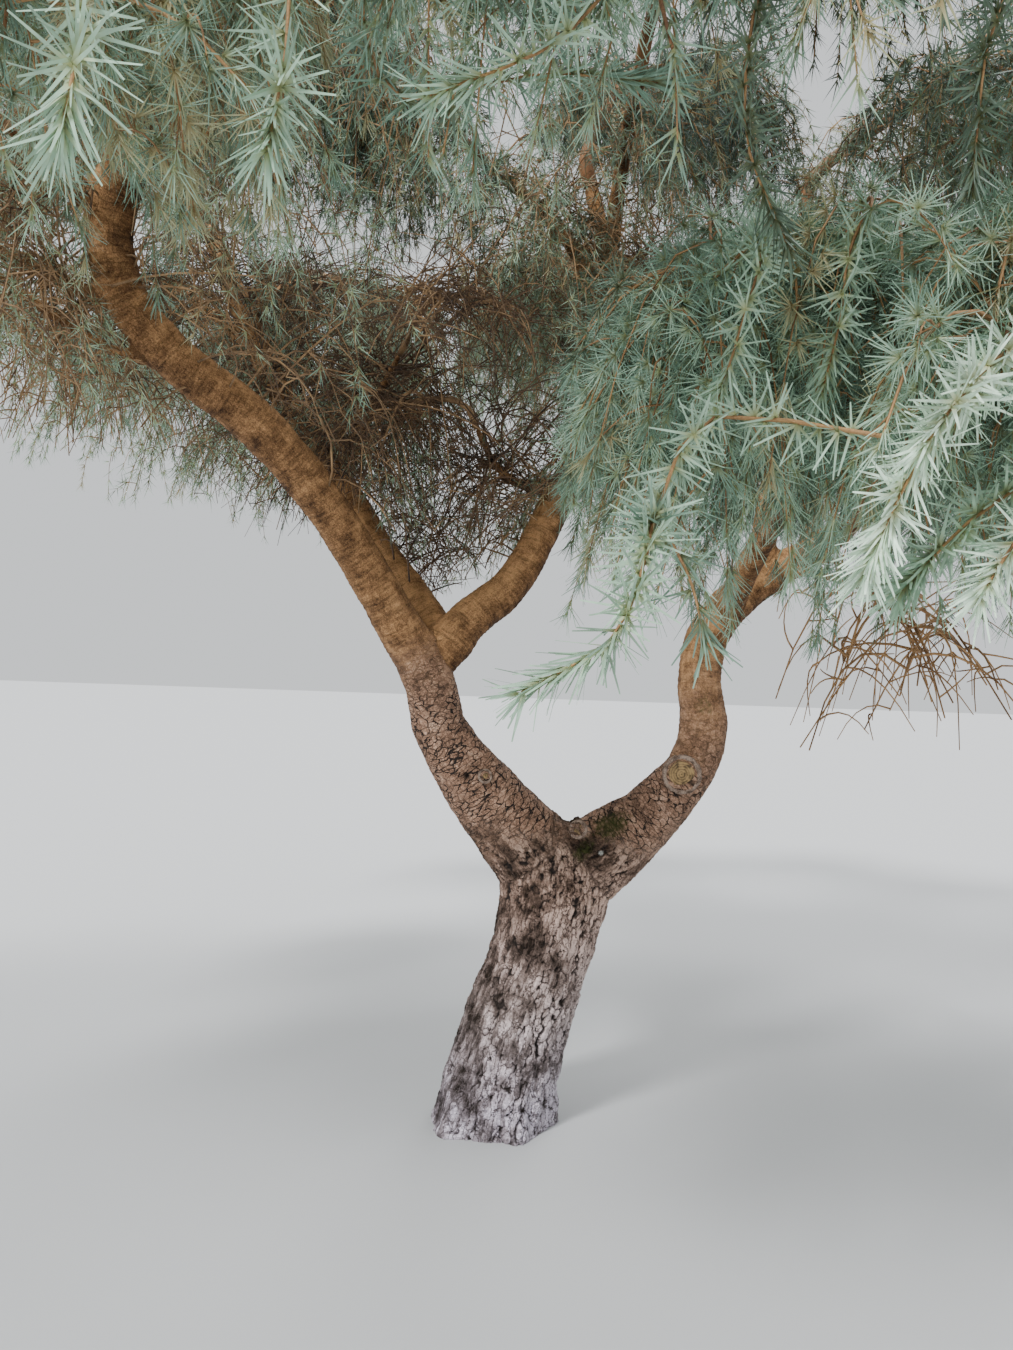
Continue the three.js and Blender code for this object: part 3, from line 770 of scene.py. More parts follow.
@dataclass(frozen=True)
class BarkFinish:
    """The bark: flaked and fissured on the trunk, cracked into blocks above it, and ringed on young limbs."""

    fissure: Triple = (0.026, 0.019, 0.016)
    flake_dark: Triple = (0.150, 0.123, 0.130)
    flake_middle: Triple = (0.385, 0.330, 0.362)
    flake_light: Triple = (0.850, 0.765, 0.880)
    waist_tone: Triple = (1.00, 0.92, 0.78)
    top_tone: Triple = (0.94, 0.72, 0.50)
    fork_tone: Triple = (0.56, 0.42, 0.27)
    block_dark: Triple = (0.110, 0.062, 0.042)
    block_middle: Triple = (0.450, 0.262, 0.172)
    block_light: Triple = (0.860, 0.590, 0.435)
    skin_dark: Triple = (0.058, 0.027, 0.012)
    skin_middle: Triple = (0.255, 0.132, 0.058)
    skin_light: Triple = (0.640, 0.355, 0.160)
    moss: Triple = (0.052, 0.06, 0.014)
    fleck: Triple = (0.74, 0.73, 0.68)
    flake_scale: float = 56
    block_scale: float = 66
    block_narrowness: float = 0.40
    roughness: float = 0.88
    gloss: float = 0.25

    def material(self) -> bpy.types.Material:
        """Builds the material, which reads the attributes that the bark's mesh carries."""
        nodes = Nodes("bark_finish")
        grain = nodes.attribute("grain", "Vector")
        relief = nodes.attribute("relief")
        grit = nodes.noise(grain, 420, 3)
        blotch = nodes.noise(grain, 22, 4)
        trunk, edges = self.flakes(nodes, grain, grit)
        blocks, cracks = self.blocks(nodes, grain, grit, blotch)
        young, wrinkle = self.skin(nodes, grain, grit, blotch)
        whole = nodes.mix(nodes.attribute("block"), young, blocks)
        whole = nodes.mix(nodes.attribute("old"), whole, trunk)
        # Low relief goes to the fissure colour; in the knots' hollows this is painted shade.
        cracked = nodes.ramp(relief, [(0.05, grey(0)), (0.6, grey(1))])
        whole = nodes.mix(cracked, self.fissure, whole)
        whole = nodes.mix(nodes.attribute("moss"), whole, self.moss)
        whole = nodes.mix(nodes.attribute("fleck"), whole, self.fleck)
        nodes.dress(whole, self.roughness)
        nodes.shader.inputs["Specular IOR Level"].default_value = self.gloss
        height = nodes.total((edges, 0.5), (cracks, -0.9), (wrinkle, 0.6), (grit, 0.5))
        nodes.bump(height, 0.9, 0.005)
        return nodes.material

    def flakes(self, nodes: Nodes, grain: Link, grit: Link) -> tuple[Link, Link]:
        """The trunk's ragged upright flakes: their colour, and where they are free of their edges' cracks."""
        place = nodes.ragged(nodes.ragged(grain, 70, 0.018), 200, 0.007)
        stretch = (1, 1, 0.27)
        edge = nodes.cells(place, self.flake_scale, stretch, "DISTANCE_TO_EDGE", "Distance")
        dealt = nodes.cells(place, self.flake_scale, stretch, "F1", "Color")
        streak = nodes.noise(grain, 150, 5, (1, 1, 0.28))
        patch = nodes.attribute("patch")
        # The patch attribute carries the mottled patches and the painted shade on the trunk's left and back
        # sides.
        tone = nodes.total((patch, 0.34), (dealt, 0.14), (streak, 0.40), (grit, 0.20))
        stops = [(0.40, self.fissure), (0.48, self.flake_dark)]
        stops += [(0.57, self.flake_middle), (0.70, self.flake_light)]
        edges = nodes.ramp(edge, [(0.01, grey(0)), (0.07, grey(1))])
        heights = [(0.08, grey(1)), (0.35, self.waist_tone), (0.74, self.top_tone), (0.93, self.fork_tone)]
        bark = nodes.mix(edges, self.flake_dark, nodes.ramp(tone, stops))
        return nodes.mix(1.0, bark, nodes.ramp(nodes.attribute("rise"), heights), "MULTIPLY"), edges

    def blocks(self, nodes: Nodes, grain: Link, grit: Link, blotch: Link) -> tuple[Link, Link]:
        """The boughs' small blocks in rows round them: their colour, and the cracks between them."""
        place = nodes.ragged(nodes.attribute("wrap", "Vector"), 24, 0.024)
        place = nodes.ragged(place, 110, 0.008)
        stretch = (self.block_scale * self.block_narrowness, self.block_scale, 1)
        edge = nodes.cells(place, 1, stretch, "DISTANCE_TO_EDGE", "Distance")
        dealt = nodes.cells(place, 1, stretch, "F1", "Color")
        finer = nodes.cells(place, 2.6, stretch, "DISTANCE_TO_EDGE", "Distance")
        shown = nodes.ramp(nodes.noise(grain, 26, 3), [(0.38, grey(0.5)), (0.50, grey(1))])
        wide = nodes.math("MULTIPLY", nodes.ramp(edge, [(0.042, grey(1)), (0.070, grey(0))]), shown)
        thin = nodes.math("MULTIPLY", nodes.ramp(finer, [(0.0, grey(0.8)), (0.05, grey(0))]), shown)
        cracks = nodes.math("MULTIPLY", nodes.math("MAXIMUM", wide, thin), nodes.attribute("block"))
        tone = nodes.total((blotch, 0.36), (nodes.noise(grain, 150, 4), 0.30), (grit, 0.28), (dealt, 0.07))
        stops = [(0.40, self.block_dark), (0.52, self.block_middle), (0.68, self.block_light)]
        return nodes.mix(cracks, nodes.ramp(tone, stops), self.fissure), cracks

    def skin(self, nodes: Nodes, grain: Link, grit: Link, blotch: Link) -> tuple[Link, Link]:
        """The thin bark of young boughs, finely wrinkled across and stippled, with painted light on its side
        facing up, left and front: its colour and its wrinkles.
        """
        wrinkle = nodes.noise(grain, 120, 4, (0.16, 0.16, 1))
        stipple = nodes.noise(grain, 260, 3)
        # Painted light: the young bark is painted lighter where it faces up, left and front, towards the key
        # lamp, and darker underneath.
        weathered = (nodes.attribute("weathered"), 0.20)
        tone = nodes.total((wrinkle, 0.20), (blotch, 0.34), (stipple, 0.26), (grit, 0.20), weathered)
        stops = [(0.50, self.skin_dark), (0.60, self.skin_middle), (0.72, self.skin_light)]
        lines = nodes.ramp(nodes.noise(grain, 85, 2, (0.12, 0.12, 1)), [(0.36, grey(0.7)), (0.43, grey(1))])
        return nodes.mix(1.0, nodes.ramp(tone, stops), lines, "MULTIPLY"), wrinkle


@dataclass(frozen=True)
class RimFinish:
    """The pale ragged bark that has grown round a saw cut."""

    pale: Triple = (0.36, 0.265, 0.205)
    dark: Triple = (0.08, 0.050, 0.034)
    roughness: float = 0.9

    def material(self) -> bpy.types.Material:
        """Builds the material."""
        nodes = Nodes("rim_finish")
        place = (nodes.add("TexCoord"), "Object")
        tone = nodes.total((nodes.noise(place, 60, 4), 0.6), (nodes.noise(place, 260, 3), 0.4))
        nodes.dress(nodes.ramp(tone, [(0.40, self.dark), (0.58, self.pale)]), self.roughness)
        nodes.bump(tone, 0.8, 0.004)
        return nodes.material


@dataclass(frozen=True)
class CutWoodFinish:
    """Sawn wood, weathered ochre with growth rings."""

    pale: Triple = (0.36, 0.235, 0.10)
    dark: Triple = (0.075, 0.046, 0.020)
    ring_scale: float = 130
    roughness: float = 0.8

    def material(self) -> bpy.types.Material:
        """Builds the material, which reads each vertex's distance from the heart, in metres."""
        nodes = Nodes("cut_wood_finish")
        place = (nodes.add("TexCoord"), "Object")
        blotch = nodes.noise(place, 60, 4)
        wobble = nodes.math("MULTIPLY", blotch, 0.010)
        radius = nodes.math("ADD", nodes.attribute("along"), wobble)
        wave = nodes.math("SINE", nodes.math("MULTIPLY", radius, 2 * math.pi * self.ring_scale), 0)
        tone = nodes.math("ADD", nodes.math("MULTIPLY", wave, 0.07), blotch)
        nodes.dress(nodes.ramp(tone, [(0.36, self.dark), (0.62, self.pale)]), self.roughness)
        nodes.bump(tone, 0.5, 0.002)
        return nodes.material


@dataclass(frozen=True)
class TwigFinish:
    """A twig's bark, varied from place to place between a dark and a light brown."""

    name: str
    dark: Triple
    light: Triple
    scale: float = 9
    roughness: float = 0.8

    def material(self) -> bpy.types.Material:
        """Builds the material."""
        nodes = Nodes(self.name)
        place = (nodes.add("TexCoord"), "Object")
        specks = nodes.math("MULTIPLY", nodes.noise(place, 300, 2), 0.4)
        tone = nodes.math("ADD", nodes.noise(place, self.scale, 3), specks)
        nodes.dress(nodes.ramp(tone, [(0.5, self.dark), (0.9, self.light)]), self.roughness)
        nodes.bump(nodes.noise(place, 500, 2), 0.4, 0.002)
        return nodes.material


@dataclass(frozen=True)
class NeedleFinish:
    """Needles of one tint: yellower at the root, then the tint, and varied from place to place."""

    name: str
    root: Triple
    tint: Triple
    roughness: float = 0.5
    gloss: float = 0.35
    scale: float = 25
    variation: float = 0.3

    def material(self) -> bpy.types.Material:
        """Builds the material."""
        nodes = Nodes(self.name)
        place = (nodes.add("TexCoord"), "Object")
        along = nodes.ramp(nodes.attribute("along"), [(0.02, self.root), (0.4, self.tint)])
        shade = nodes.ramp(
            nodes.noise(place, self.scale, 2),
            [(0.3, grey(1 - self.variation)), (0.7, grey(1 + self.variation))],
        )
        nodes.dress(nodes.mix(1.0, along, shade, "MULTIPLY"), self.roughness)
        nodes.shader.inputs["Specular IOR Level"].default_value = self.gloss
        return nodes.material


class TwigTint(Enum):
    """The barks of stems and twigs."""

    STEM = TwigFinish("stem_finish", (0.11, 0.05, 0.022), (0.36, 0.17, 0.07))
    LEAFY = TwigFinish("leafy_twig_finish", (0.15, 0.075, 0.032), (0.52, 0.30, 0.13))
    BARE = TwigFinish("bare_twig_finish", (0.045, 0.025, 0.015), (0.50, 0.31, 0.15))
    SHADED = TwigFinish("shaded_twig_finish", (0.022, 0.014, 0.009), (0.20, 0.115, 0.060))


class NeedleTint(Enum):
    """The colours that sprays of needles are dealt, as plain base colours."""

    # Painted sunlight: the palest tint stands for the sun on the broad front shoots.
    BRIGHT = NeedleFinish("needles_painted_sunlit", (0.55, 0.54, 0.32), (0.72, 0.90, 0.73))
    PALE = NeedleFinish("needles_pale", (0.34, 0.36, 0.17), (0.365, 0.525, 0.390))
    BLUE = NeedleFinish("needles_blue", (0.22, 0.23, 0.10), (0.200, 0.320, 0.240))
    GREEN = NeedleFinish("needles_green", (0.14, 0.15, 0.065), (0.135, 0.20, 0.142))
    DEEP = NeedleFinish("needles_deep", (0.09, 0.095, 0.045), (0.085, 0.130, 0.112))
    OLIVE = NeedleFinish("needles_olive", (0.34, 0.27, 0.13), (0.375, 0.375, 0.215))


@dataclass(frozen=True)
class Knot:
    """A knot on a limb: where it is in metres, how wide, how proud, and how deep the hollow in it."""

    place: Triple
    width: float
    height: float
    hollow: float = 0.0


@dataclass
class Wood:
    """The trunk and boughs as closed meshes with the bark's relief."""

    fine_voxel: float = 0.0045
    coarse_voxel: float = 0.010
    foot_height: float = 0.0002
    trunk_top: float = 0.80
    fork_top: Pair = (0.84, 0.97)
    seam_height: float = 1.5
    seam_overlap: float = 0.003
    cut_margin: float = 0.03
    trunk_depth_share: float = 0.92
    trunk_samples: int = 60
    samples_per_station: int = 8
    settle_factor: float = 0.5
    settle_rounds: int = 8
    furrow_size: Triple = (0.024, 0.024, 0.130)
    groove_size: Triple = (0.013, 0.013, 0.050)
    break_size: Triple = (0.032, 0.032, 0.018)
    plate_size: Triple = (0.026, 0.026, 0.060)
    block_size: Triple = (0.040, 0.040, 0.028)
    lump_scale: float = 14
    grit_scale: float = 120
    patch_scale: float = 11
    bend_scale: float = 30
    noise_seed: int = 5
    old_bend: float = 0.6
    block_bend: float = 0.4
    furrow_depth: float = 0.0075
    groove_depth: float = 0.0030
    break_depth: float = 0.0022
    plate_step: float = 0.0045
    block_depth: float = 0.0016
    # Painted shade: the old bark's tone is darker on sides facing left and back, and lighter on those facing
    # right and front.
    painted_shade_side: Triple = (0.30, -0.16, 0)
    # Painted light: the way that the young bark's painted lit side faces.
    painted_light_way: Triple = (-0.35, -0.45, 0.82)
    wrap_radius: float = 0.09
    lump: float = 0.006
    ring_step: float = 0.010
    ring_height: float = 0.0010
    flare_height: float = 0.11
    flare_swell: float = 0.16
    foot_radius: float = 0.184
    root_lobes: int = 5
    lobe_skew: float = 0.8
    stub_foot_swell: float = 1.12
    callus: float = 0.0075
    rim_rough: float = 0.5
    knots: tuple[Knot, ...] = (
        Knot((-1.08, -0.68, 2.58), 0.055, 0.020),
        Knot((-0.110, -0.143, 1.090), 0.030, 0.012, 0.022),
        Knot((-0.142, -0.090, 1.655), 0.022, 0.022),
        Knot((0.022, 0.000, 1.790), 0.028, 0.010, 0.006),
        Knot((-0.335, -0.20, 1.50), 0.030, 0.008),
        Knot((0.655, -0.10, 1.28), 0.040, 0.009),
    )
    moss_places: Spots = (
        ((0.34, -0.10, 0.955), 0.060),
        ((0.25, -0.14, 0.880), 0.045),
        ((0.60, -0.10, 1.330), 0.045),
        ((0.105, -0.16, 0.700), 0.022),
        ((0.30, 0.13, 0.900), 0.080),
    )
    flecks: Spots = (
        ((0.262, -0.125, 0.905), 0.006),
        ((0.304, -0.135, 0.872), 0.007),
        ((0.066, -0.160, 0.714), 0.009),
        ((0.395, -0.115, 0.930), 0.007),
        ((0.420, -0.105, 0.925), 0.009),
    )

    def __post_init__(self) -> None:
        """Samples the trunk and every limb."""
        self.lines = [LimbLine("trunk", TRUNK_STATIONS, TRUNK_AGES, self.trunk_samples)]
        for plan in LIMBS:
            samples = self.samples_per_station * len(plan.stations)
            self.lines.append(LimbLine(plan.name, plan.stations, plan.ages, samples))
        self.centres = np.vstack([line.centres for line in self.lines])
        self.radii = np.concatenate([line.radii for line in self.lines])

    def tube(self, line: LimbLine) -> bpy.types.Object:
        """A limb as a round tapering tube, closed at both ends."""
        bpy.ops.curve.primitive_nurbs_path_add(radius=1)
        tube = bpy.context.active_object
        curve = tube.data
        spline = curve.splines[0]
        spline.type = "POLY"
        spline.points.add(len(line.centres) - len(spline.points))
        for point, centre, radius in zip(spline.points, line.centres, line.radii):
            point.co = (*centre, 1)
            point.radius = radius
        curve.dimensions = "3D"
        curve.bevel_depth = 1
        curve.bevel_resolution = 6
        curve.use_fill_caps = True
        bpy.ops.object.convert(target="MESH")
        if line.name == "trunk":
            self.in_edit_mode(lambda: bpy.ops.transform.resize(value=(1, self.trunk_depth_share, 1)))
        return bpy.context.active_object

    def stub(self, plan: Stub) -> list[bpy.types.Object]:
        """A pruned branch as a short cone with a raised callus round its cut."""
        way = Vector(plan.way).normalized()
        turn = way.to_track_quat("Z", "Y").to_euler()
        foot = Vector(plan.foot) * MM
        radius, length = plan.radius * MM, plan.length * MM
        bpy.ops.mesh.primitive_cone_add(
            vertices=32,
            radius1=radius * self.stub_foot_swell,
            radius2=radius,
            depth=length,
            location=foot + way * length / 2,
            rotation=turn,
        )
        cone = bpy.context.active_object
        bpy.ops.mesh.primitive_torus_add(
            major_radius=radius,
            minor_radius=min(self.callus, radius * 0.4),
            location=foot + way * length,
            rotation=turn,
        )
        return [cone, bpy.context.active_object]

    def in_edit_mode(self, work: Callable[[], set[str]]) -> None:
        """Selects all of the active object, does some work on it in edit mode, and leaves edit mode."""
        bpy.ops.object.mode_set(mode="EDIT")
        bpy.ops.mesh.select_all(action="SELECT")
        work()
        bpy.ops.object.mode_set(mode="OBJECT")

    def joined(self, name: str, parts: list[bpy.types.Object], voxel: float) -> bpy.types.Object:
        """Parts grown together into one skin.

        Args:
            name: the piece's name.
            parts: tubes and stubs.
            voxel: the size of the skin's mesh, in metres.

        Returns:
            The skin, before its relief.
        """
        bpy.ops.object.select_all(action="DESELECT")
        for part in parts:
            part.select_set(True)
        bpy.context.view_layer.objects.active = parts[0]
        bpy.ops.object.join()
        bpy.ops.object.transform_apply(location=True, rotation=True, scale=True)
        piece = bpy.context.active_object
        piece.name = name
        piece.data.name = name
        remesh = piece.modifiers.new("skin", "REMESH")
        remesh.mode = "VOXEL"
        remesh.voxel_size = voxel
        bpy.ops.object.modifier_apply(modifier=remesh.name)
        smooth = piece.modifiers.new("settle", "SMOOTH")
        smooth.factor = self.settle_factor
        smooth.iterations = self.settle_rounds
        bpy.ops.object.modifier_apply(modifier=smooth.name)
        return piece

    def nearest(self, points: np.ndarray) -> tuple[np.ndarray, ...]:
        """Each point's place in its limb's straightened grain, the bark's age there and the limb's radius."""
        tangents = np.vstack([line.tangents for line in self.lines])
        sides = np.vstack([line.sides for line in self.lines])
        others = np.vstack([line.others for line in self.lines])
        ages = np.concatenate([line.ages for line in self.lines])
        lengths = np.concatenate([line.lengths + 7 * k for k, line in enumerate(self.lines)])
        best = np.empty(len(points), int)
        for start in range(0, len(points), 20000):
            block = points[start : start + 20000]
            gap = np.linalg.norm(block[:, None] - self.centres[None], axis=2) - self.radii
            best[start : start + 20000] = gap.argmin(1)
        away = points - self.centres[best]
        across = (away * sides[best]).sum(1)
        over = (away * others[best]).sum(1)
        along = lengths[best] + (away * tangents[best]).sum(1)
        return np.stack([across, over, along], axis=1), ages[best], self.radii[best]

    def relieve(self, piece: bpy.types.Object) -> None:
        """Raises flakes, fissures, blocks, rings, knots and the root flare on a skin.

        Stores what the bark's finish reads as attributes of the mesh.

        Args:
            piece: the skin.
        """
        mesh = piece.data
        places = self.vectors(mesh, "co")
        normals = self.vectors(mesh, "normal")
        grain, age, radius = self.nearest(places)
        patchy = np.array([noise.noise(Vector(place) * 9) for place in grain])
        age = age + 0.06 * patchy
        fork = 1 - smooth_step(*self.fork_top, places[:, 2] + 0.07 * patchy)
        old = np.maximum(smooth_step(0.88, 0.98, age), fork)
        block = smooth_step(0.38, 0.62, age)
        lump, fine, patch = self.unevenness(grain)
        furrow, groove, breaks, plate, blocks = self.patterns(grain, old, block)
        furrow = smooth_step(0.0, 0.15, furrow + 0.05 * fine)
        groove = smooth_step(0.0, 0.16, groove + 0.05 * fine)
        breaks = smooth_step(0.0, 0.10, breaks)
        blocks = smooth_step(0.0, 0.25, blocks)
        plate = np.round(3 * plate) / 3
        block = block * (1 - old)
        young = 1 - old - block
        lift = self.furrow_depth * (furrow - 0.75) + self.groove_depth * (groove - 0.75)
        lift = old * (lift + self.break_depth * (breaks - 0.9) + self.plate_step * plate * furrow)
        lift += block * self.block_depth * (blocks - 0.8)
        wave = np.sin(grain[:, 2] / self.ring_step * math.pi + 6 * lump + 2 * fine)
        lift += young * self.ring_height * wave
        lift += (0.0004 + 0.0010 * old) * fine + self.lump * lump * np.clip(radius / 0.1, 0.2, 1)
        shade = np.ones(len(places))
        self.add_knots(places, lift, shade)
        flare = self.flare(places)
        moved = places + normals * lift[:, None] + normals * np.array([1, 1, 0]) * flare[:, None]
        moss = smooth_step(0.4, 0.9, self.spots(places, self.moss_places) + 0.35 * lump + 0.3 * fine) * 0.85
        fleck = smooth_step(0.3, 0.6, self.spots(places, self.flecks))
        mesh.vertices.foreach_set("co", moved.astype(np.float32).ravel())
        turn = np.arctan2(grain[:, 1], grain[:, 0]) * self.wrap_radius
        wrap = np.column_stack([turn, grain[:, 2], np.zeros(len(grain))])
        # Low relief is drawn in the fissure colour: deep furrows, and the knots' hollows, where it is painted
        # shade.
        relief = shade * (1 - old * (1 - furrow * (0.55 + 0.45 * groove) * (0.75 + 0.25 * breaks)))
        # The patch tone holds mottled patches, plate steps and a painted shade that darkens the bark's left
        # and back sides.
        tone = 0.5 + 0.55 * patch + 0.30 * plate + normals @ np.array(self.painted_shade_side)
        for label, values in (
            ("grain", grain),
            ("wrap", wrap),
            ("relief", relief),
            ("patch", tone),
            ("old", old),
            ("block", np.where(old < 1, block / np.maximum(1e-6, 1 - old), 1)),
            ("moss", moss),
            ("fleck", fleck),
            ("rise", places[:, 2]),
            # Painted light on the young bark: lighter where it faces up, left and front.
            ("weathered", 0.5 + 0.5 * (normals @ np.array(self.painted_light_way))),
        ):
            keep_values(mesh, label, values)
        mesh.update()

    @staticmethod
    def vectors(mesh: bpy.types.Mesh, key: str) -> np.ndarray:
        """The place or the normal of each vertex, one row each."""
        values = np.empty(3 * len(mesh.vertices), np.float32)
        mesh.vertices.foreach_get(key, values)
        return values.reshape(-1, 3).astype(float)

    def unevenness(self, grain: np.ndarray) -> Group:
        """Slow lumps, fine grit and mottled patches at each place of the grain."""
        places = [Vector(place) for place in grain]
        lump = np.array([noise.noise(place * self.lump_scale) for place in places])
        fine = np.array([noise.noise(place * self.grit_scale) for place in places])
        patch = np.array([noise.fractal(place * self.patch_scale, 0.9, 2.2, 3) for place in places])
        return lump, fine, patch

    def patterns(self, grain: np.ndarray, old: np.ndarray, block: np.ndarray) -> tuple[np.ndarray, ...]:
        """The patterns that old and blocky bark break up in.

        Args:
            grain: places in the straightened grain.
            old: where the bark is old, above 0.
            block: where it is blocky, above 0.

        Returns:
            The distance from furrows, from grooves and from breaks, the plates' steps, and the distance
            from the edges of blocks.
        """
        furrow, groove, breaks, blocks = (np.ones(len(grain)) for _ in range(4))
        plate = np.zeros(len(grain))
        sizes = (self.furrow_size, self.groove_size, self.break_size, self.plate_size, self.block_size)
        furrow_size, groove_size, break_size, plate_size, block_size = (Vector(size) for size in sizes)
        for k in range(len(grain)):
            g = Vector(grain[k])
            if old[k] > 0:
                bend = noise.noise_vector(g * self.bend_scale) * self.old_bend
                furrow[k] = abs(noise.noise(self.shrunk(g, furrow_size) + bend))
                groove[k] = abs(noise.noise(self.shrunk(g, groove_size) + bend))
                breaks[k] = abs(noise.noise(self.shrunk(g, break_size) - bend))
                plate[k] = noise.noise(self.shrunk(g, plate_size) + bend)
            if block[k] > 0:
                bend = noise.noise_vector(g * self.bend_scale) * self.block_bend
                near = noise.voronoi(self.shrunk(g, block_size) + bend, distance_metric="CHEBYCHEV")[0]
                blocks[k] = near[1] - near[0]
        return furrow, groove, breaks, plate, blocks

    def add_knots(self, places: np.ndarray, lift: np.ndarray, shade: np.ndarray) -> None:
        """Adds the knots to how far the points are lifted, and painted shade to their hollows, in place."""
        for knot in self.knots:
            away = np.linalg.norm(places - np.array(knot.place), axis=1)
            lift += knot.height * np.exp(-((away / knot.width) ** 2))
            if knot.hollow:
                core = np.exp(-((away / (0.6 * knot.width)) ** 2))
                lift -= (knot.hollow + knot.height) * core
                shade *= 1 - core

    def flare(self, places: np.ndarray) -> np.ndarray:
        """How far the roots push each point outwards, most at the ground."""
        angle = np.arctan2(places[:, 1], places[:, 0])
        lobe = np.maximum(0, np.cos(self.root_lobes * angle + self.lobe_skew * np.sin(angle)))
        foot = np.exp(-np.maximum(places[:, 2], 0) / self.flare_height) * (places[:, 2] < self.trunk_top)
        return self.flare_swell * self.foot_radius * lobe * foot

    @staticmethod
    def spots(points: np.ndarray, places: Spots) -> np.ndarray:
        """How much each point lies in one of some round spots, given by centre and size, from 0 to 1."""
        nearest = np.zeros(len(points))
        for centre, size in places:
            away = np.linalg.norm(points - np.array(centre), axis=1)
            nearest = np.maximum(nearest, np.exp(-((away / size) ** 2)))
        return nearest

    @staticmethod
    def shrunk(place: Vector, size: Vector) -> Vector:
        """A place measured in cells of a size."""
        return Vector((place.x / size.x, place.y / size.y, place.z / size.z))

    def cut(self, piece: bpy.types.Object, height: float, keep_above: bool, fill: bool) -> None:
        """Cuts a skin level at a height and drops one side of it."""
        bpy.ops.object.select_all(action="DESELECT")
        piece.select_set(True)
        bpy.context.view_layer.objects.active = piece
        self.in_edit_mode(
            lambda: bpy.ops.mesh.bisect(
                plane_co=(0, 0, height),
                plane_no=(0, 0, 1),
                use_fill=fill,
                clear_inner=keep_above,
                clear_outer=not keep_above,
            )
        )

    def copy(self, piece: bpy.types.Object, name: str) -> bpy.types.Object:
        """A copy of a piece with its own mesh."""
        made = piece.copy()
        made.data = piece.data.copy()
        made.name = name
        made.data.name = name
        bpy.context.scene.collection.objects.link(made)
        return made

    def cut_faces(self) -> MeshStore:
        """The sawn faces of the stubs, slightly domed discs within their callus."""
        store = MeshStore("cut_wood", CutWoodFinish(), True)
        for plan in STUBS:
            rings, spokes = 6, 32
            centre, way, out = plan.rays(1, spokes)
            reach = np.linspace(0.02, 0.97, rings) * plan.radius * MM
            dome = way * 0.0015 * (1 - np.linspace(0, 1, rings) ** 2)[:, None, None]
            vertices = centre + out[None] * reach[:, None, None] + dome
            k = np.arange(spokes)
            row = (np.arange(rings - 1) * spokes)[:, None]
            after = (k + 1) % spokes
            faces = np.stack([row + k, row + spokes + k, row + spokes + after, row + after], axis=-1)
            store.add(vertices.reshape(-1, 3), faces.reshape(-1, 4), np.repeat(reach, spokes))
        return store

    def rims(self) -> MeshStore:
        """The raised ragged rims round the saw cuts."""
        store = MeshStore("cut_rims", RimFinish(), True)
        for plan in STUBS:
            spokes, around = 72, 10
            centre, way, out = plan.rays(0, spokes)
            bend = np.arange(around) * 2 * math.pi / around
            radius = plan.radius * MM
            thick = min(self.callus, 0.3 * radius)
            rough = [
                [noise.noise(Vector(centre * 50 + o * 9 + way * math.sin(b) * 2)) for b in bend] for o in out
            ]
            swell = thick * (1 + self.rim_rough * np.array(rough))
            reach = radius + 0.8 * thick + swell * np.cos(bend)
            height = swell * np.sin(bend)
            vertices = centre + out[:, None] * reach[..., None] + way * height[..., None]
            i, j = np.meshgrid(np.arange(spokes), np.arange(around), indexing="ij")
            after, above = (i + 1) % spokes, (j + 1) % around
            corners = [i * around + j, after * around + j, after * around + above, i * around + above]
            store.add(vertices.reshape(-1, 3), np.stack(corners, axis=-1).reshape(-1, 4))
        return store

    def build(self) -> list[bpy.types.Object]:
        """Makes the trunk's and the boughs' bark.

        Returns:
            The bark pieces, dressed.
        """
        noise.seed_set(self.noise_seed)
        low_names = ("trunk", "left_bough", "right_bough", "middle_bough", "back_left_bough")
        parts = [self.tube(line) for line in self.lines if line.name in low_names]
        for plan in STUBS:
            parts += self.stub(plan)
        voxel = self.fine_voxel
        low = self.joined("trunk_bark", parts, voxel)
        self.cut(low, self.seam_height + self.cut_margin, False, False)
        self.relieve(low)
        fork = self.copy(low, "fork_bark")
        self.cut(low, self.trunk_top + self.seam_overlap, False, True)
        self.cut(low, self.foot_height, True, True)
        self.cut(fork, self.trunk_top - self.seam_overlap, True, True)
        self.cut(fork, self.seam_height + self.seam_overlap, False, True)
        high = self.joined("bough_bark", [self.tube(line) for line in self.lines[1:]], self.coarse_voxel)
        self.cut(high, self.seam_height - self.cut_margin, True, False)
        self.relieve(high)
        self.cut(high, self.seam_height - self.seam_overlap, True, True)
        material = BarkFinish().material()
        for piece in (low, fork, high):
            piece.data.materials.clear()
            piece.data.materials.append(material)
            piece.data.shade_smooth()
        return [low, fork, high]


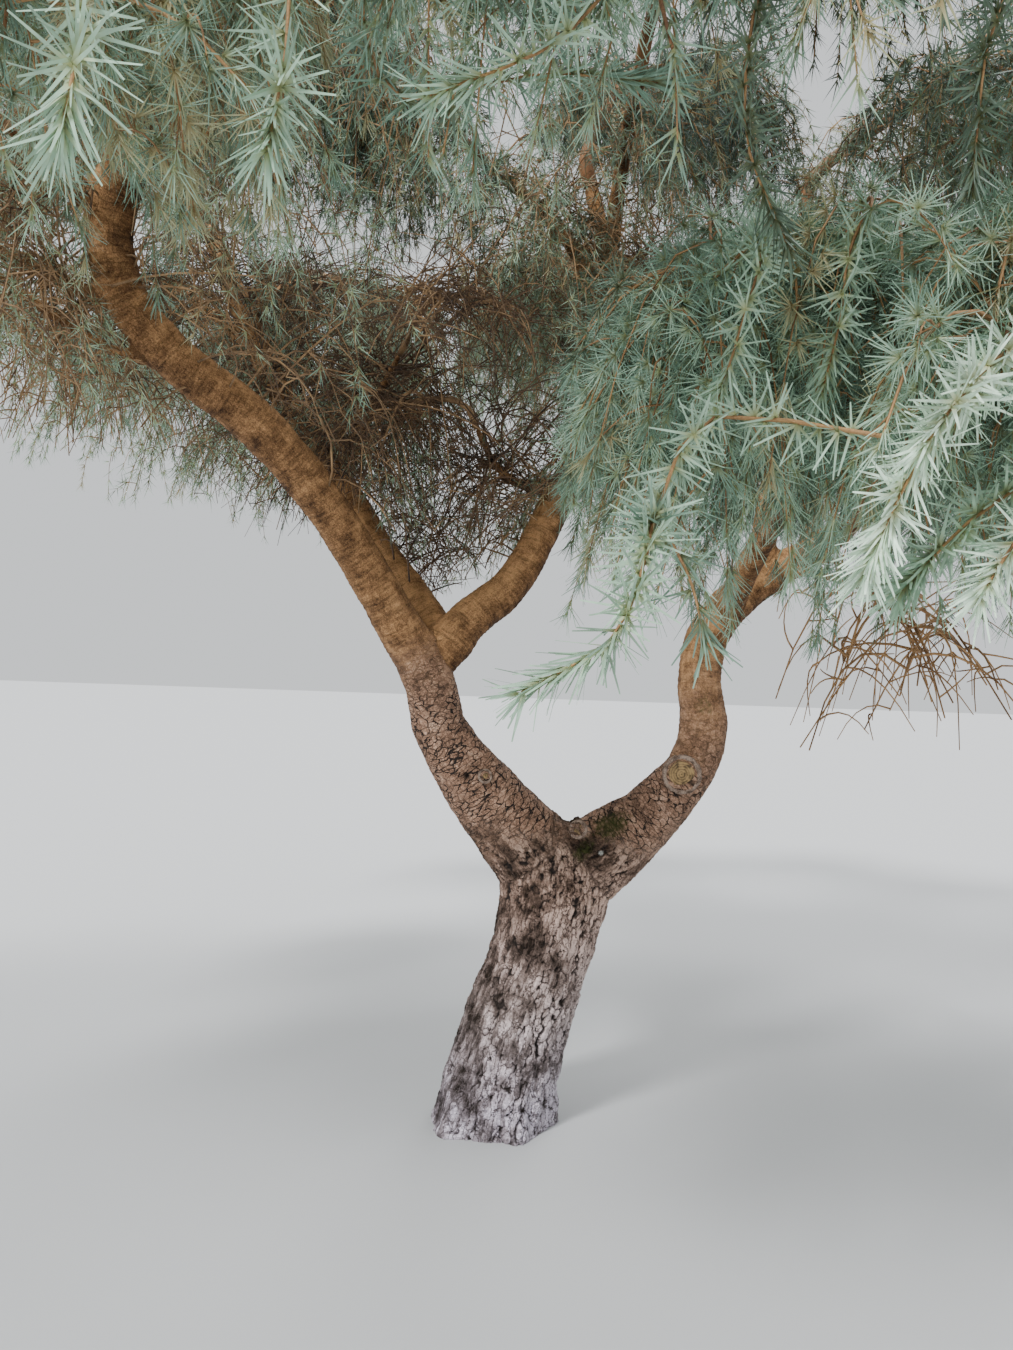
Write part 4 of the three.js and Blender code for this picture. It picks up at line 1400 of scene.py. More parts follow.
@dataclass
class Crown:
    """The twigs and needles of every mass, grown by the source's rule and carried finer."""

    wood: Wood
    seed: int = 7
    margin: float = 0.14
    spaces: tuple[tuple[str, Triple, Triple], ...] = (
        ("front_left_foliage", (-1.30, -2.68, 1.93), (-0.25, -1.20, 2.90)),
        ("front_middle_foliage", (-0.36, -2.50, 1.86), (0.65, -1.05, 3.05)),
        ("front_right_foliage", (0.09, -2.40, 1.50), (1.20, -0.80, 2.75)),
        ("crown_top_foliage", (-0.30, -0.25, 2.40), (1.33, 1.45, 3.80)),
        ("centre_top_foliage", (-1.45, -0.65, 2.35), (0.20, 0.65, 3.60)),
        ("right_top_foliage", (0.60, -0.95, 2.25), (2.50, 0.65, 3.50)),
    )
    densities: Shares = (
        ("front_right_foliage", 1.35), ("back_foliage", 1.2), ("back_side_foliage", 1.2),
        ("crown_top_foliage", 1.2), ("centre_top_foliage", 1.2), ("low_right_bare_twigs", 0.26),
        ("outer_left_bare_twigs", 1.1), ("middle_bare_twigs", 1.6), ("inner_bare_twigs", 1.6),
    )
    curtain_on_stem: TwigHabit = TwigHabit(44, (0, 1), (0, 180), (0.10, 0.34), (0, 0.4), (1.2, 3.0), 0.03)
    curtain_on_branch: TwigHabit = TwigHabit(12, (0.1, 1), (0, 180), (0.10, 0.32), (0, 0.4), (1.2, 3.0), 0.03)
    shoot_on_curtain: TwigHabit = TwigHabit(
        3, (0.25, 0.9), (20, 90), (0.08, 0.18), (0, 0.4), (0.7, 2), 0.03, steps=4
    )
    fringed: Names = (
        "crown_top_foliage", "centre_top_foliage", "right_top_foliage", "back_foliage",
    )
    fringe_on_stem: TwigHabit = TwigHabit(30, (0, 1), (10, 170), (0.12, 0.38), (0, 0.3), (1.4, 2.8), 0.03)
    fringe_on_branch: TwigHabit = TwigHabit(6, (0.1, 1), (10, 170), (0.12, 0.36), (0, 0.3), (1.4, 2.8), 0.03)
    crest_on_stem: TwigHabit = TwigHabit(
        26, (0, 0.95), (20, 160), (0.08, 0.20), (0.3, 1.0), (0.2, 0.9), 0.03, steps=4
    )
    crest_on_branch: TwigHabit = TwigHabit(
        5, (0.05, 0.9), (20, 160), (0.08, 0.18), (0.3, 1), (0.2, 0.9), 0.03, steps=4
    )
    near_needles: NeedleForm = NeedleForm(0.038, 22, (0.036, 0.050), 0.0021, 0.012, True)
    leading_needles: NeedleForm = NeedleForm(0.013, 9, (0.042, 0.058), 0.0040, 0.003, True)
    broad_needles: NeedleForm = NeedleForm(0.011, 11, (0.044, 0.060), 0.0050, 0.003, True)
    far_needles: NeedleForm = NeedleForm(0.034, 10, (0.040, 0.058), 0.0036, 0.006, False)
    veil_needles: NeedleForm = NeedleForm(0.034, 7, (0.034, 0.050), 0.0028, 0.006, False)
    tip_share: float = 0.26
    near_masses: Names = ("front_left_foliage", "front_middle_foliage", "front_right_foliage")
    olive_shares: Shares = (
        ("front_left_foliage", 0.5), ("front_middle_foliage", 0.22),
    )
    near_lighter: float = 0.15
    veil_lighter: float = 0.3
    crown_radius: float = 2.4
    deal_by_chance: float = 0.6
    deal_by_reach: float = 0.4
    tint_steps: tuple[float, ...] = (0.3, 0.52, 0.76, 1.14)
    golden_turn: float = 0.382
    whorl_shift: float = 0.15
    lean: Pair = (25, 98)
    droop: float = 0.002
    blade_taper: float = 0.4
    shown_share: float = 0.92
    stem_foot_share: float = 0.98
    bare_foot_share: float = 0.9
    fine_leafy_from: float = 0.4
    branch_leafy_from: float = 0.7
    stem_leafy_from: float = 0.75
    veil_leafy_from: float = 0.6
    stem_tip: float = 0.0016
    branch_girth: Girth = Girth(0.009, 0.0014, 6)
    fine_girth: Girth = Girth(0.0042, 0.0018)
    shoot_girth: Girth = Girth(0.0022, 0.0010)
    limb_girths: tuple[Girth, ...] = (Girth(0.0042, 0.0018), Girth(0.0028, 0.0013), Girth(0.0019, 0.0009))
    veil_girths: tuple[Girth, ...] = (Girth(0.0040, 0.0018), Girth(0.0026, 0.0012), Girth(0.0018, 0.0009))
    bare_stem_tip: float = 0.002
    bare_branch_girth: Girth = Girth(0.006, 0.002, 5)
    bare_girths: tuple[Girth, ...] = (Girth(0.0030, 0.0014), Girth(0.0020, 0.0009))
    boughs_in_view: Shares = (
        ("left_bough", 2.65), ("middle_bough", 1.95), ("back_left_bough", 2.15),
    )
    pale_bare_masses: Names = ("low_right_bare_twigs",)
    pale_stoutness: float = 1.6
    shoot_clearance: float = 0.048
    shoot_joint: float = 0.02
    shade_above: Pair = (2.0, 2.35)
    shade_right_of: Pair = (0.1, 0.6)
    shade_depth: float = 0.14
    window: Triple = (0.56, 0.74, -0.85)
    eye: Pair = (-3.2, 1.4)
    overhang: float = 0.07
    fine_on_limb: TwigHabit = TwigHabit(16, (0.3, 1), (30, 120), (0.24, 0.50), (0.3, 0.9), (0.6, 1.4), 0.02)
    fine_on_stem: TwigHabit = TwigHabit(22, (0.03, 1), (25, 90), (0.28, 0.60), (0.2, 0.6), (0.6, 1.2), 0.02)
    fine_on_branch: TwigHabit = TwigHabit(10, (0.1, 1), (25, 80), (0.24, 0.50), (0.1, 0.45), (0.6, 1.3), 0.02)
    shoot_on_fine: TwigHabit = TwigHabit(
        4, (0.2, 1), (10, 90), (0.12, 0.30), (0, 0.4), (0.7, 2.0), 0.03, steps=4
    )
    shoot_on_branch: TwigHabit = TwigHabit(
        6, (0.2, 1), (10, 90), (0.14, 0.32), (0, 0.4), (0.7, 2.0), 0.03, steps=4
    )
    limb_twig: TwigHabit = TwigHabit(1, (0, 1), (35, 165), (0.22, 0.56), (0, 1.2), (0, 1.8), 0.006, 0.6)
    limb_twig_fine: TwigHabit = TwigHabit(
        4, (0.15, 1), (20, 150), (0.13, 0.38), (-0.2, 1), (-0.2, 1.8), 0.004, 0.6
    )
    limb_twig_finest: TwigHabit = TwigHabit(
        2, (0.2, 1), (25, 150), (0.07, 0.22), (-0.2, 1), (-0.2, 1.8), 0.003, 0.6, 3
    )
    shaded_limbs: Names = ("back_left_bough", "middle_arm", "inner_arm", "back_side_limb")
    veil_twig: TwigHabit = TwigHabit(1, (0, 1), (20, 160), (0.25, 0.60), (0, 0.5), (0.7, 1.5), 0.006, 0.3)
    veil_twig_fine: TwigHabit = TwigHabit(
        4, (0.15, 1), (20, 110), (0.14, 0.32), (0, 0.6), (0.8, 2.0), 0.006, 0.3
    )
    veil_twig_finest: TwigHabit = TwigHabit(
        3, (0.2, 1), (20, 110), (0.08, 0.17), (0, 0.5), (0.8, 2), 0.006, 0.3, 3
    )
    veiled_limbs: Spans = (
        ("centre_top_limb", 0.2, 1.0, 18), ("middle_bough", 0.60, 1.0, 26), ("back_limb", 0.2, 1.0, 10),
        ("top_right_limb", 0.5, 1.0, 34), ("inner_arm", 0.3, 1.0, 12), ("back_left_bough", 0.6, 1.0, 16),
        ("left_bough", 0.88, 1.0, 10), ("left_limb", 0.4, 1.0, 8), ("front_left_limb", 0.3, 1.0, 8),
        ("front_middle_limb", 0.1, 1.0, 12), ("front_right_limb", 0.3, 1.0, 6),
        ("outer_right_limb", 0.2, 1.0, 8), ("back_left_limb", 0.2, 1.0, 12),
        ("back_side_limb", 0.3, 1.0, 8), ("back_right_limb", 0.2, 1.0, 12),
        ("side_right_limb", 0.2, 1.0, 10), ("front_top_limb", 0.3, 1.0, 8),
    )
    veiled_stems: tuple[tuple[str, int], ...] = (
        ("centre_top_foliage", 20), ("crown_top_foliage", 8), ("right_top_foliage", 22),
    )
    bare_limbs: Spans = (
        ("back_left_bough", 0.28, 0.95, 130), ("left_bough", 0.42, 0.95, 60),
        ("middle_bough", 0.45, 0.95, 60), ("middle_arm", 0.2, 0.9, 36), ("inner_arm", 0.1, 0.9, 40),
        ("left_limb", 0.2, 0.9, 38), ("low_left_limb", 0.2, 0.9, 32), ("front_left_limb", 0.1, 0.9, 20),
        ("front_middle_limb", 0.1, 0.9, 24), ("centre_top_limb", 0.1, 0.9, 24),
        ("back_side_limb", 0.1, 0.9, 30), ("back_limb", 0.1, 0.9, 24), ("top_right_limb", 0.2, 0.9, 20),
        ("right_bough", 0.75, 0.95, 24), ("front_right_limb", 0.2, 0.9, 24),
        ("outer_right_limb", 0.2, 0.9, 16), ("low_right_arm", 0.2, 0.9, 8),
    )
    limb_twigs_reach_down: tuple[Pair, ...] = (
        (-1.5, 2.00), (-0.75, 1.90), (-0.6, 1.93), (-0.31, 1.60), (0.0, 1.80), (0.2, 1.98), (1.2, 2.05),
    )
    bare_inner: TwigHabit = TwigHabit(5, (0.05, 0.5), (20, 110), (0.10, 0.30), (0.2, 0.8), (0.8, 2.0), 0.006)
    bare_fine: TwigHabit = TwigHabit(
        10, (0.05, 1), (20, 150), (0.16, 0.40), (-0.1, 0.9), (0, 1.7), 0.008, 0.6
    )
    bare_finest: TwigHabit = TwigHabit(
        4, (0.15, 1), (25, 150), (0.08, 0.24), (-0.2, 0.9), (-0.2, 1.8), 0.004, 0.6
    )

    def __post_init__(self) -> None:
        """Lays out every mass's stem."""
        self.random = np.random.default_rng(self.seed)
        self.lowest_corner = np.array(PACKED_BOX[0]) - self.overhang
        self.highest_corner = np.array(PACKED_BOX[1]) + self.overhang
        self.lines = {line.name: line for line in self.wood.lines}
        self.stems = {plan.name: self.stem(plan) for plan in LEAFY_MASSES + BARE_MASSES}
        places, radii = [], []
        for name, top in self.boughs_in_view:
            line = self.lines[name]
            shown = line.centres[:, 2] < top
            places.append(line.centres[shown])
            radii.append(self.shown_share * line.radii[shown])
        self.bare_in_view = (np.vstack(places), np.concatenate(radii))
        steps = np.linspace(0, 1, LIMB_POINTS)
        plans = [plan for shoots in LEADING_SHOOTS.values() for plan in shoots]
        routes = [catmull_rom(np.array(plan.points) * MM, steps) for plan in plans]
        self.shoots_in_view = (np.vstack(routes), np.full(LIMB_POINTS * len(routes), self.shoot_clearance))
        self.stem_wood = MeshStore("foliage_stems", TwigTint.STEM.value, True)
        self.leafy_wood = MeshStore("leafy_twigs", TwigTint.LEAFY.value, True)
        self.bare_wood = MeshStore("bare_twigs", TwigTint.BARE.value, True)
        self.shaded_wood = MeshStore("shaded_twigs", TwigTint.SHADED.value, True)
        self.needles = {tint: MeshStore(tint.value.name, tint.value, False) for tint in NeedleTint}

    def stem(self, plan: MassPlan) -> np.ndarray:
        """A mass's stem: it leaves its limb's tip in the limb's own direction, and then arches over."""
        line = self.lines[plan.limb]
        leaving = line.tangents[-1]
        foot = line.centres[-1] + leaving * JOINT_GAP * MM
        bend = foot + leaving * STEM_LEAD * MM
        sizes = (plan.reach * MM, plan.climb * MM, plan.sag * MM)
        return np.vstack([foot, arch(bend, math.radians(plan.heading), *sizes, STEM_STEPS)])

    def has_room(self, name: str | None, points: np.ndarray, radius: float) -> np.ndarray:
        """Whether balls lie in a mass's own space and clear of every limb.

        Args:
            name: the mass, or None for a twig of a limb, which only keeps clear of the other limbs.
            points: the balls' centres.
            radius: their radius, in metres.

        Returns:
            One truth value for each ball.
        """
        free = []
        for start in range(0, len(points), 4000):
            block = points[start : start + 4000]
            gap = np.linalg.norm(block[:, None] - self.wood.centres[None], axis=2) - self.wood.radii
            fits = gap.min(1) > radius + LIMB_GAP * MM
            if name is None:
                across, lowest = zip(*self.limb_twigs_reach_down)
                fits &= block[:, 2] > np.interp(block[:, 0], across, lowest)
                fits &= ~self.hides(block, *self.bare_in_view)
            else:
                if name in self.near_masses:
                    fits &= ~self.hides(block, *self.shoots_in_view)
                gaps = {key: self.distance_to(block, path) for key, path in self.stems.items()}
                own = gaps.pop(name) + 2 * radius + SPACE_GAP * MM
                fits &= np.min(list(gaps.values()), axis=0) >= own
                fits &= self.within_space(name, block)
            free.append(fits)
        return np.concatenate(free) if free else np.zeros(0, bool)

    def hides(self, points: np.ndarray, places: np.ndarray, radii: np.ndarray) -> np.ndarray:
        """Whether points would hide places of some radii that the portrait shows bare."""
        away = points[:, 1] - self.eye[0]
        shown_away = places[:, 1] - self.eye[0]
        across = points[:, 0, None] / away[:, None] - places[:, 0] / shown_away
        up = (points[:, 2, None] - self.eye[1]) / away[:, None] - (places[:, 2] - self.eye[1]) / shown_away
        near = np.hypot(across, up) < radii / shown_away
        return (near & (away[:, None] < shown_away + radii)).any(1)

    @staticmethod
    def distance_to(points: np.ndarray, path: np.ndarray) -> np.ndarray:
        """The distance from each point to a line through points."""
        start, step = path[:-1], np.diff(path, axis=0)
        away = points[:, None, :] - start[None]
        share = np.clip((away * step).sum(2) / (step**2).sum(1), 0, 1)
        return np.linalg.norm(away - share[..., None] * step, axis=2).min(1)

    def space(self, name: str) -> tuple[np.ndarray, np.ndarray]:
        """The corners of a mass's space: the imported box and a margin, or its own corners."""
        for key, low, high in self.spaces:
            if key == name:
                return np.array(low), np.array(high)
        low, high = (np.array(corner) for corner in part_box(name))
        return low - self.margin, high + self.margin

    def within_space(self, name: str, points: np.ndarray) -> np.ndarray:
        """Whether points stay within a mass's space, and within the whole tree's box."""
        low, high = self.space(name)
        low, high = np.maximum(low, self.lowest_corner), np.minimum(high, self.highest_corner)
        return ((points > low) & (points < high)).all(1)

    def branches(self, plan: MassPlan, seed: int, leafy: bool) -> tuple[list[np.ndarray], list[float]]:
        """The side branches that the source gives a mass.

        Args:
            plan: the mass.
            seed: its seed.
            leafy: whether it bears needles.

        Returns:
            Each branch's points, and each branch's heading.
        """
        random = Seeded(seed)
        stem = self.stems[plan.name]
        paths, headings = [], []
        for i in range(BRANCHES):
            share = BRANCH_PLACES[0] + (BRANCH_PLACES[1] - BRANCH_PLACES[0]) * i / (BRANCHES - 1)
            start = stem[1 + math.floor(share * STEM_STEPS + 0.5)]
            side = 1 if i % 2 else -1
            heading = math.radians(plan.heading + side * random.between(BRANCH_TURN))
            shortening = 1 - BRANCH_SHORTENING * share
            reach = plan.reach * MM * plan.spread * shortening * random.between(BRANCH_REACH)
            sag = reach * (LEAFY_SAG if leafy else BARE_SAG)
            points = arch(start, heading, reach, BRANCH_CLIMB * reach, sag, BRANCH_STEPS)
            free = self.has_room(plan.name, points[1:], 2 * BRANCH_RADIUS * MM)
            kept = len(points)
            while kept > 1 and not free[: kept - 1].all():
                kept -= 1
            if kept < BRANCH_STEPS:
                continue
            paths.append(points[:kept])
            headings.append(heading)
            if leafy:
                for _ in range(SPRAYS_PER_BRANCH * NUMBERS_PER_SPRAY):
                    random.next()
        return paths, headings

    def grow(self, name: str | None, parents: Shoots, habit: TwigHabit) -> Shoots:
        """Finer twigs along parent twigs, to left and right in turn, each as far as it has room.

        Args:
            name: the mass they belong to, or None for the twigs of a limb.
            parents: the parent twigs.
            habit: how they grow.

        Returns:
            The twigs that have room.
        """
        count = len(parents) * habit.each
        owner = np.repeat(np.arange(len(parents)), habit.each)
        order = np.tile(np.arange(habit.each), len(parents))
        low, high = habit.places
        share = low + (high - low) * (order + self.random.random(count)) / habit.each
        start = point_along(parents.paths[owner], share)
        side = np.where(order % 2, 1, -1)
        heading = parents.headings[owner] + side * np.radians(self.random.uniform(*habit.turn, count))
        reach = self.random.uniform(*habit.reach, count)
        climb = reach * self.random.uniform(*habit.climb, count)
        sag = reach * self.random.uniform(*habit.sag, count)
        curl = reach * self.random.uniform(-habit.curl, habit.curl, count)

        def path(extent: np.ndarray) -> np.ndarray:
            """The twigs' points when each goes only to an extent of its own."""
            s = np.linspace(0, 1, habit.steps + 1)[None] * extent[:, None]
            ahead = reach[:, None] * s * (1 - 0.2 * s)
            aside = curl[:, None] * s**2
            c, d = np.cos(heading)[:, None], np.sin(heading)[:, None]
            rise = climb[:, None] * s - sag[:, None] * s**2
            moved = np.stack([ahead * c - aside * d, ahead * d + aside * c, rise], axis=2)
            return start[:, None] + moved

        points = path(np.ones(count))
        outer = points[:, 2:].reshape(-1, 3)
        free = self.has_room(name, outer, habit.room).reshape(count, habit.steps - 1)
        kept = np.where(free.all(1), habit.steps, free.argmin(1) + 1)
        extent = kept / habit.steps
        fits = extent >= 0.5
        return Shoots(path(extent)[fits], heading[fits])

    def grow_leafy(self, plan: MassPlan, seed: int) -> None:
        """One mass of foliage: stem, branches, finer twigs and leafy shoots."""
        stem = self.stems[plan.name]
        heading = math.radians(plan.heading)
        foot = self.stem_foot_share * self.lines[plan.limb].radii[-1]
        paths, headings = self.branches(plan, seed, True)
        main = Shoots.of([stem[1:]], [heading], STEM_POINTS)
        branches = Shoots.of(paths, headings, BRANCH_POINTS)
        whole = Shoots.of([stem], [heading], LIMB_POINTS)
        self.stem_wood.add_twigs(whole.paths, Girth(foot, self.stem_tip, 8))
        self.stem_wood.add_twigs(branches.paths, self.branch_girth)
        line = self.lines[plan.limb]
        limb = Shoots.of([line.centres], [math.atan2(*line.tangents[-1, 1::-1])], LIMB_POINTS)
        fine = [
            self.grow(plan.name, limb, self.denser(self.fine_on_limb, plan.name)),
            self.grow(plan.name, main, self.denser(self.fine_on_stem, plan.name)),
            self.grow(plan.name, branches, self.denser(self.fine_on_branch, plan.name)),
        ]
        shoots = [self.grow(plan.name, parents, self.shoot_on_fine) for parents in fine]
        shoots.append(self.grow(plan.name, branches, self.denser(self.shoot_on_branch, plan.name)))
        if plan.name in self.near_masses:
            for parents, habit in ((main, self.curtain_on_stem), (branches, self.curtain_on_branch)):
                hanging = self.grow(plan.name, parents, habit)
                hanging = hanging.chosen(self.in_window(hanging.paths[:, -1]))
                shoots += [hanging, self.grow(plan.name, hanging, self.shoot_on_curtain)]
        if plan.name in self.fringed:
            shoots.append(self.grow(plan.name, main, self.fringe_on_stem))
            shoots.append(self.grow(plan.name, branches, self.fringe_on_branch))
        self.grow_leading(plan.name, [main, branches, *fine])
        for parents, habit in ((main, self.crest_on_stem), (branches, self.crest_on_branch)):
            shoots.append(self.grow(plan.name, parents, habit))
        bare = [self.grow(plan.name, parents, self.bare_inner) for parents in (main, branches)]
        for twigs in fine:
            self.leafy_wood.add_twigs(twigs.paths, self.fine_girth)
        for twigs in bare:
            self.bare_wood.add_twigs(twigs.paths, self.shoot_girth)
        for twigs in shoots:
            self.leafy_wood.add_twigs(twigs.paths, self.shoot_girth)
        olive = dict(self.olive_shares).get(plan.name, OLIVE_SHARE)
        leafy = shoots + [twigs.outer(self.fine_leafy_from) for twigs in fine]
        leafy += [branches.outer(self.branch_leafy_from), main.outer(self.stem_leafy_from)]
        for twigs in leafy:
            near = self.in_window(twigs.paths[:, twigs.paths.shape[1] // 2])
            self.leaf(twigs.chosen(near), self.near_needles, self.near_lighter, olive)
            self.leaf(twigs.chosen(~near), self.far_needles, 0)

    def denser(self, habit: TwigHabit, name: str) -> TwigHabit:
        """A habit with as many twigs as a mass needs."""
        return replace(habit, each=max(1, round(habit.each * dict(self.densities).get(name, 1))))

    def in_window(self, points: np.ndarray) -> np.ndarray:
        """Whether points hang at the front, in the wedge that is seen from nearest."""
        wide, high, back = self.window
        away = points[:, 1] - self.eye[0]
        beside = np.abs(points[:, 0]) < wide * away
        below = points[:, 2] < self.eye[1] + high * away
        return beside & below & (points[:, 1] < back)

    def grow_leading(self, name: str, parents: list[Shoots]) -> None:
        """The long shoots that stand out at the front, each let out of the nearest twig of its mass."""
        places = np.concatenate([twigs.paths.reshape(-1, 3) for twigs in parents])
        for plan in LEADING_SHOOTS.get(name, ()):
            route = np.array(plan.points) * MM
            foot = places[np.linalg.norm(places - route[0], axis=1).argmin()]
            if np.linalg.norm(route[0] - foot) > self.shoot_joint:
                route = np.vstack([foot, route])
            heading = math.atan2(*(route[-1] - foot)[1::-1])
            shoot = Shoots.of([route], [heading], SHOOT_POINTS)
            places = np.vstack([places, shoot.paths[0]])
            form = self.broad_needles if plan.broad else self.leading_needles
            self.leafy_wood.add_twigs(shoot.paths, Girth(0.7 * form.width, 0.3 * form.width, 5))
            self.leaf(shoot, form, plan.lighter, 0)

    def grow_on_limbs(self) -> None:
        """The tangle of thin bare twigs that hangs from the limbs inside the crown."""
        for name, low, high, count in self.bare_limbs:
            store = self.shaded_wood if name in self.shaded_limbs else self.bare_wood
            spots = self.spots_on(self.lines[name], low, high, count)
            habits = (self.limb_twig, self.limb_twig_fine, self.limb_twig_finest)
            self.grow_orders(spots, habits, self.limb_girths, store)

    def grow_orders(
        self, parents: Shoots, habits: tuple[TwigHabit, ...], girths: tuple[Girth, ...], store: MeshStore
    ) -> list[Shoots]:
        """Twigs of one order after another, each on those before it.

        Args:
            parents: what the first twigs grow on.
            habits: how each order grows.
            girths: how thick each order is.
            store: what the wood goes to.

        Returns:
            The twigs of each order.
        """
        orders = []
        for habit in habits:
            parents = self.grow(None, parents, habit)
            orders.append(parents)
        for twigs, girth in zip(orders, girths):
            store.add_twigs(twigs.paths, girth)
        return orders

    def spots_on(self, line: LimbLine, low: float, high: float, count: int) -> Shoots:
        """Random places along a limb, headed along it or back, for twigs to leave from."""
        spots = (self.random.uniform(low, high, count) * (len(line.centres) - 1)).astype(int)
        starts = line.centres[spots]
        back = self.random.integers(0, 2, count) * math.pi
        along = np.arctan2(line.tangents[spots, 1], line.tangents[spots, 0])
        return Shoots(np.stack([starts, starts + line.tangents[spots] * 0.01], axis=1), along + back)

    def grow_veil(self) -> None:
        """The thin needled twigs that hang from the upper limbs inside the crown, and veil the sky there."""
        parents = []
        for name, low, high, count in self.veiled_limbs:
            parents.append((self.spots_on(self.lines[name], low, high, count), 1))
        for name, each in self.veiled_stems:
            stem = Shoots.of([self.stems[name][1:]], [0.0], STEM_POINTS)
            parents.append((stem, each))
        for shoots, each in parents:
            habits = (replace(self.veil_twig, each=each), self.veil_twig_fine, self.veil_twig_finest)
            _, second, third = self.grow_orders(shoots, habits, self.veil_girths, self.bare_wood)
            self.leaf(second.outer(self.veil_leafy_from), self.veil_needles, self.veil_lighter)
            self.leaf(third, self.veil_needles, self.veil_lighter)

    def leaf(self, shoots: Shoots, form: NeedleForm, lighter: float, olive: float = OLIVE_SHARE) -> None:
        """Gives shoots their needles, each shoot in the tint that is dealt to it.

        Args:
            shoots: the shoots.
            form: the needles' size and number.
            lighter: how far the deal is shifted to the paler tints.
            olive: the share of shoots that turn olive.
        """
        depth = self.random.random(len(shoots))
        out = np.hypot(shoots.paths[:, -1, 0], shoots.paths[:, -1, 1]) / self.crown_radius
        place = shoots.paths[:, 0]
        shade = smooth_step(*self.shade_above, place[:, 2]) * smooth_step(*self.shade_right_of, place[:, 0])
        score = depth * self.deal_by_chance + out * self.deal_by_reach + lighter - self.shade_depth * shade
        tints = np.digitize(score, self.tint_steps)
        tints = np.where(self.random.random(len(shoots)) < olive, 5, tints)
        cool = (NeedleTint.DEEP, NeedleTint.GREEN, NeedleTint.BLUE, NeedleTint.PALE, NeedleTint.BRIGHT)
        order = (*cool, NeedleTint.OLIVE)
        for k, tint in enumerate(order):
            chosen = tints == k
            if chosen.any():
                self.needles[tint].add(*self.needle_arrays(shoots.chosen(chosen), form))

    def grow_bare(self, plan: MassPlan, seed: int) -> None:
        """One mass of bare twigs, paler where it hangs in the light."""
        pale = plan.name in self.pale_bare_masses
        outer_store = self.leafy_wood if pale else self.bare_wood
        inner_store = self.leafy_wood if pale else self.shaded_wood
        stout = self.pale_stoutness if pale else 1
        stem = self.stems[plan.name]
        heading = math.radians(plan.heading)
        paths, headings = self.branches(plan, seed, False)
        main = Shoots.of([stem], [heading], SHOOT_POINTS)
        branches = Shoots.of(paths, headings, BRANCH_POINTS)
        foot = self.bare_foot_share * self.lines[plan.limb].radii[-1]
        outer_store.add_twigs(main.paths, Girth(foot, self.bare_stem_tip, 6))
        outer_store.add_twigs(branches.paths, self.bare_branch_girth)
        for parents in (main, branches):
            fine = self.grow(plan.name, parents, self.denser(self.bare_fine, plan.name))
            finest = self.grow(plan.name, fine, self.bare_finest)
            outer_store.add_twigs(fine.paths, self.bare_girths[0].stouter(stout))
            inner_store.add_twigs(finest.paths, self.bare_girths[1].stouter(stout))

    def needle_arrays(self, shoots: Shoots, form: NeedleForm) -> Group:
        """Needles along shoots: whorls on short spurs, and towards the tip needles that lean forward.

        Args:
            shoots: the shoots.
            form: the needles' size and number.

        Returns:
            Vertices, faces as rows of vertex numbers, and each vertex's place along its needle.
        """
        each = form.each
        numbers = np.maximum(3, (shoots.lengths() / form.step).astype(int))
        owner = np.repeat(np.arange(len(shoots)), numbers)
        first = np.repeat(np.cumsum(numbers) - numbers, numbers)
        share = (np.arange(len(owner)) - first + 1) / numbers[owner]
        share = np.clip(share + self.random.normal(0, self.whorl_shift, len(owner)) / numbers[owner], 0.03, 1)
        centre = point_along(shoots.paths[owner], share)
        axis = unit(centre - point_along(shoots.paths[owner], share - 0.08))
        count = len(owner)
        side = unit(np.cross(axis, np.array([0.21, 0.37, 0.90])))
        other = np.cross(axis, side)
        spin = self.random.uniform(0, 2 * math.pi, count)[:, None]
        out = np.cos(spin) * side + np.sin(spin) * other
        tip = smooth_step(1 - self.tip_share, 1 - 0.5 * self.tip_share, share)[:, None]
        pole = unit(out * (1 - tip) * 0.8 + axis * (0.45 + tip))
        root = centre + out * form.spur * (1 - tip)
        side = unit(np.cross(pole, np.array([0.34, 0.11, 0.93])))
        other = np.cross(pole, side)
        turn = np.arange(each) * 2 * math.pi * self.golden_turn + self.random.uniform(0, 6.28, (count, 1))
        lean = np.radians(self.random.uniform(*self.lean, (count, each))) * (1 - 0.45 * tip)
        around = np.cos(turn)[..., None] * side[:, None] + np.sin(turn)[..., None] * other[:, None]
        way = unit(np.cos(lean)[..., None] * pole[:, None] + np.sin(lean)[..., None] * around)
        length = self.random.uniform(*form.length, (count, each, 1))
        spread = axis[:, None] * self.random.uniform(-0.5, 0.5, (count, each, 1)) * form.step
        root = root[:, None] + spread * tip[:, None]
        end = root + way * length + np.array([0, 0, -self.droop])
        flat = unit(np.cross(way, pole[:, None] + self.random.normal(0, 0.6, (count, each, 3))))
        half = flat * form.width / 2
        if form.blade:
            tip_half = half * self.blade_taper
            corners = np.stack([root - half, root + half, end + tip_half, end - tip_half], axis=2)
            along = (0, 0, 1, 1)
        else:
            corners = np.stack([root - half, root + half, end], axis=2)
            along = (0, 0, 1)
        size = len(along)
        faces = np.arange(count * each * size).reshape(-1, size)
        return corners.reshape(-1, 3), faces, np.tile(along, count * each)

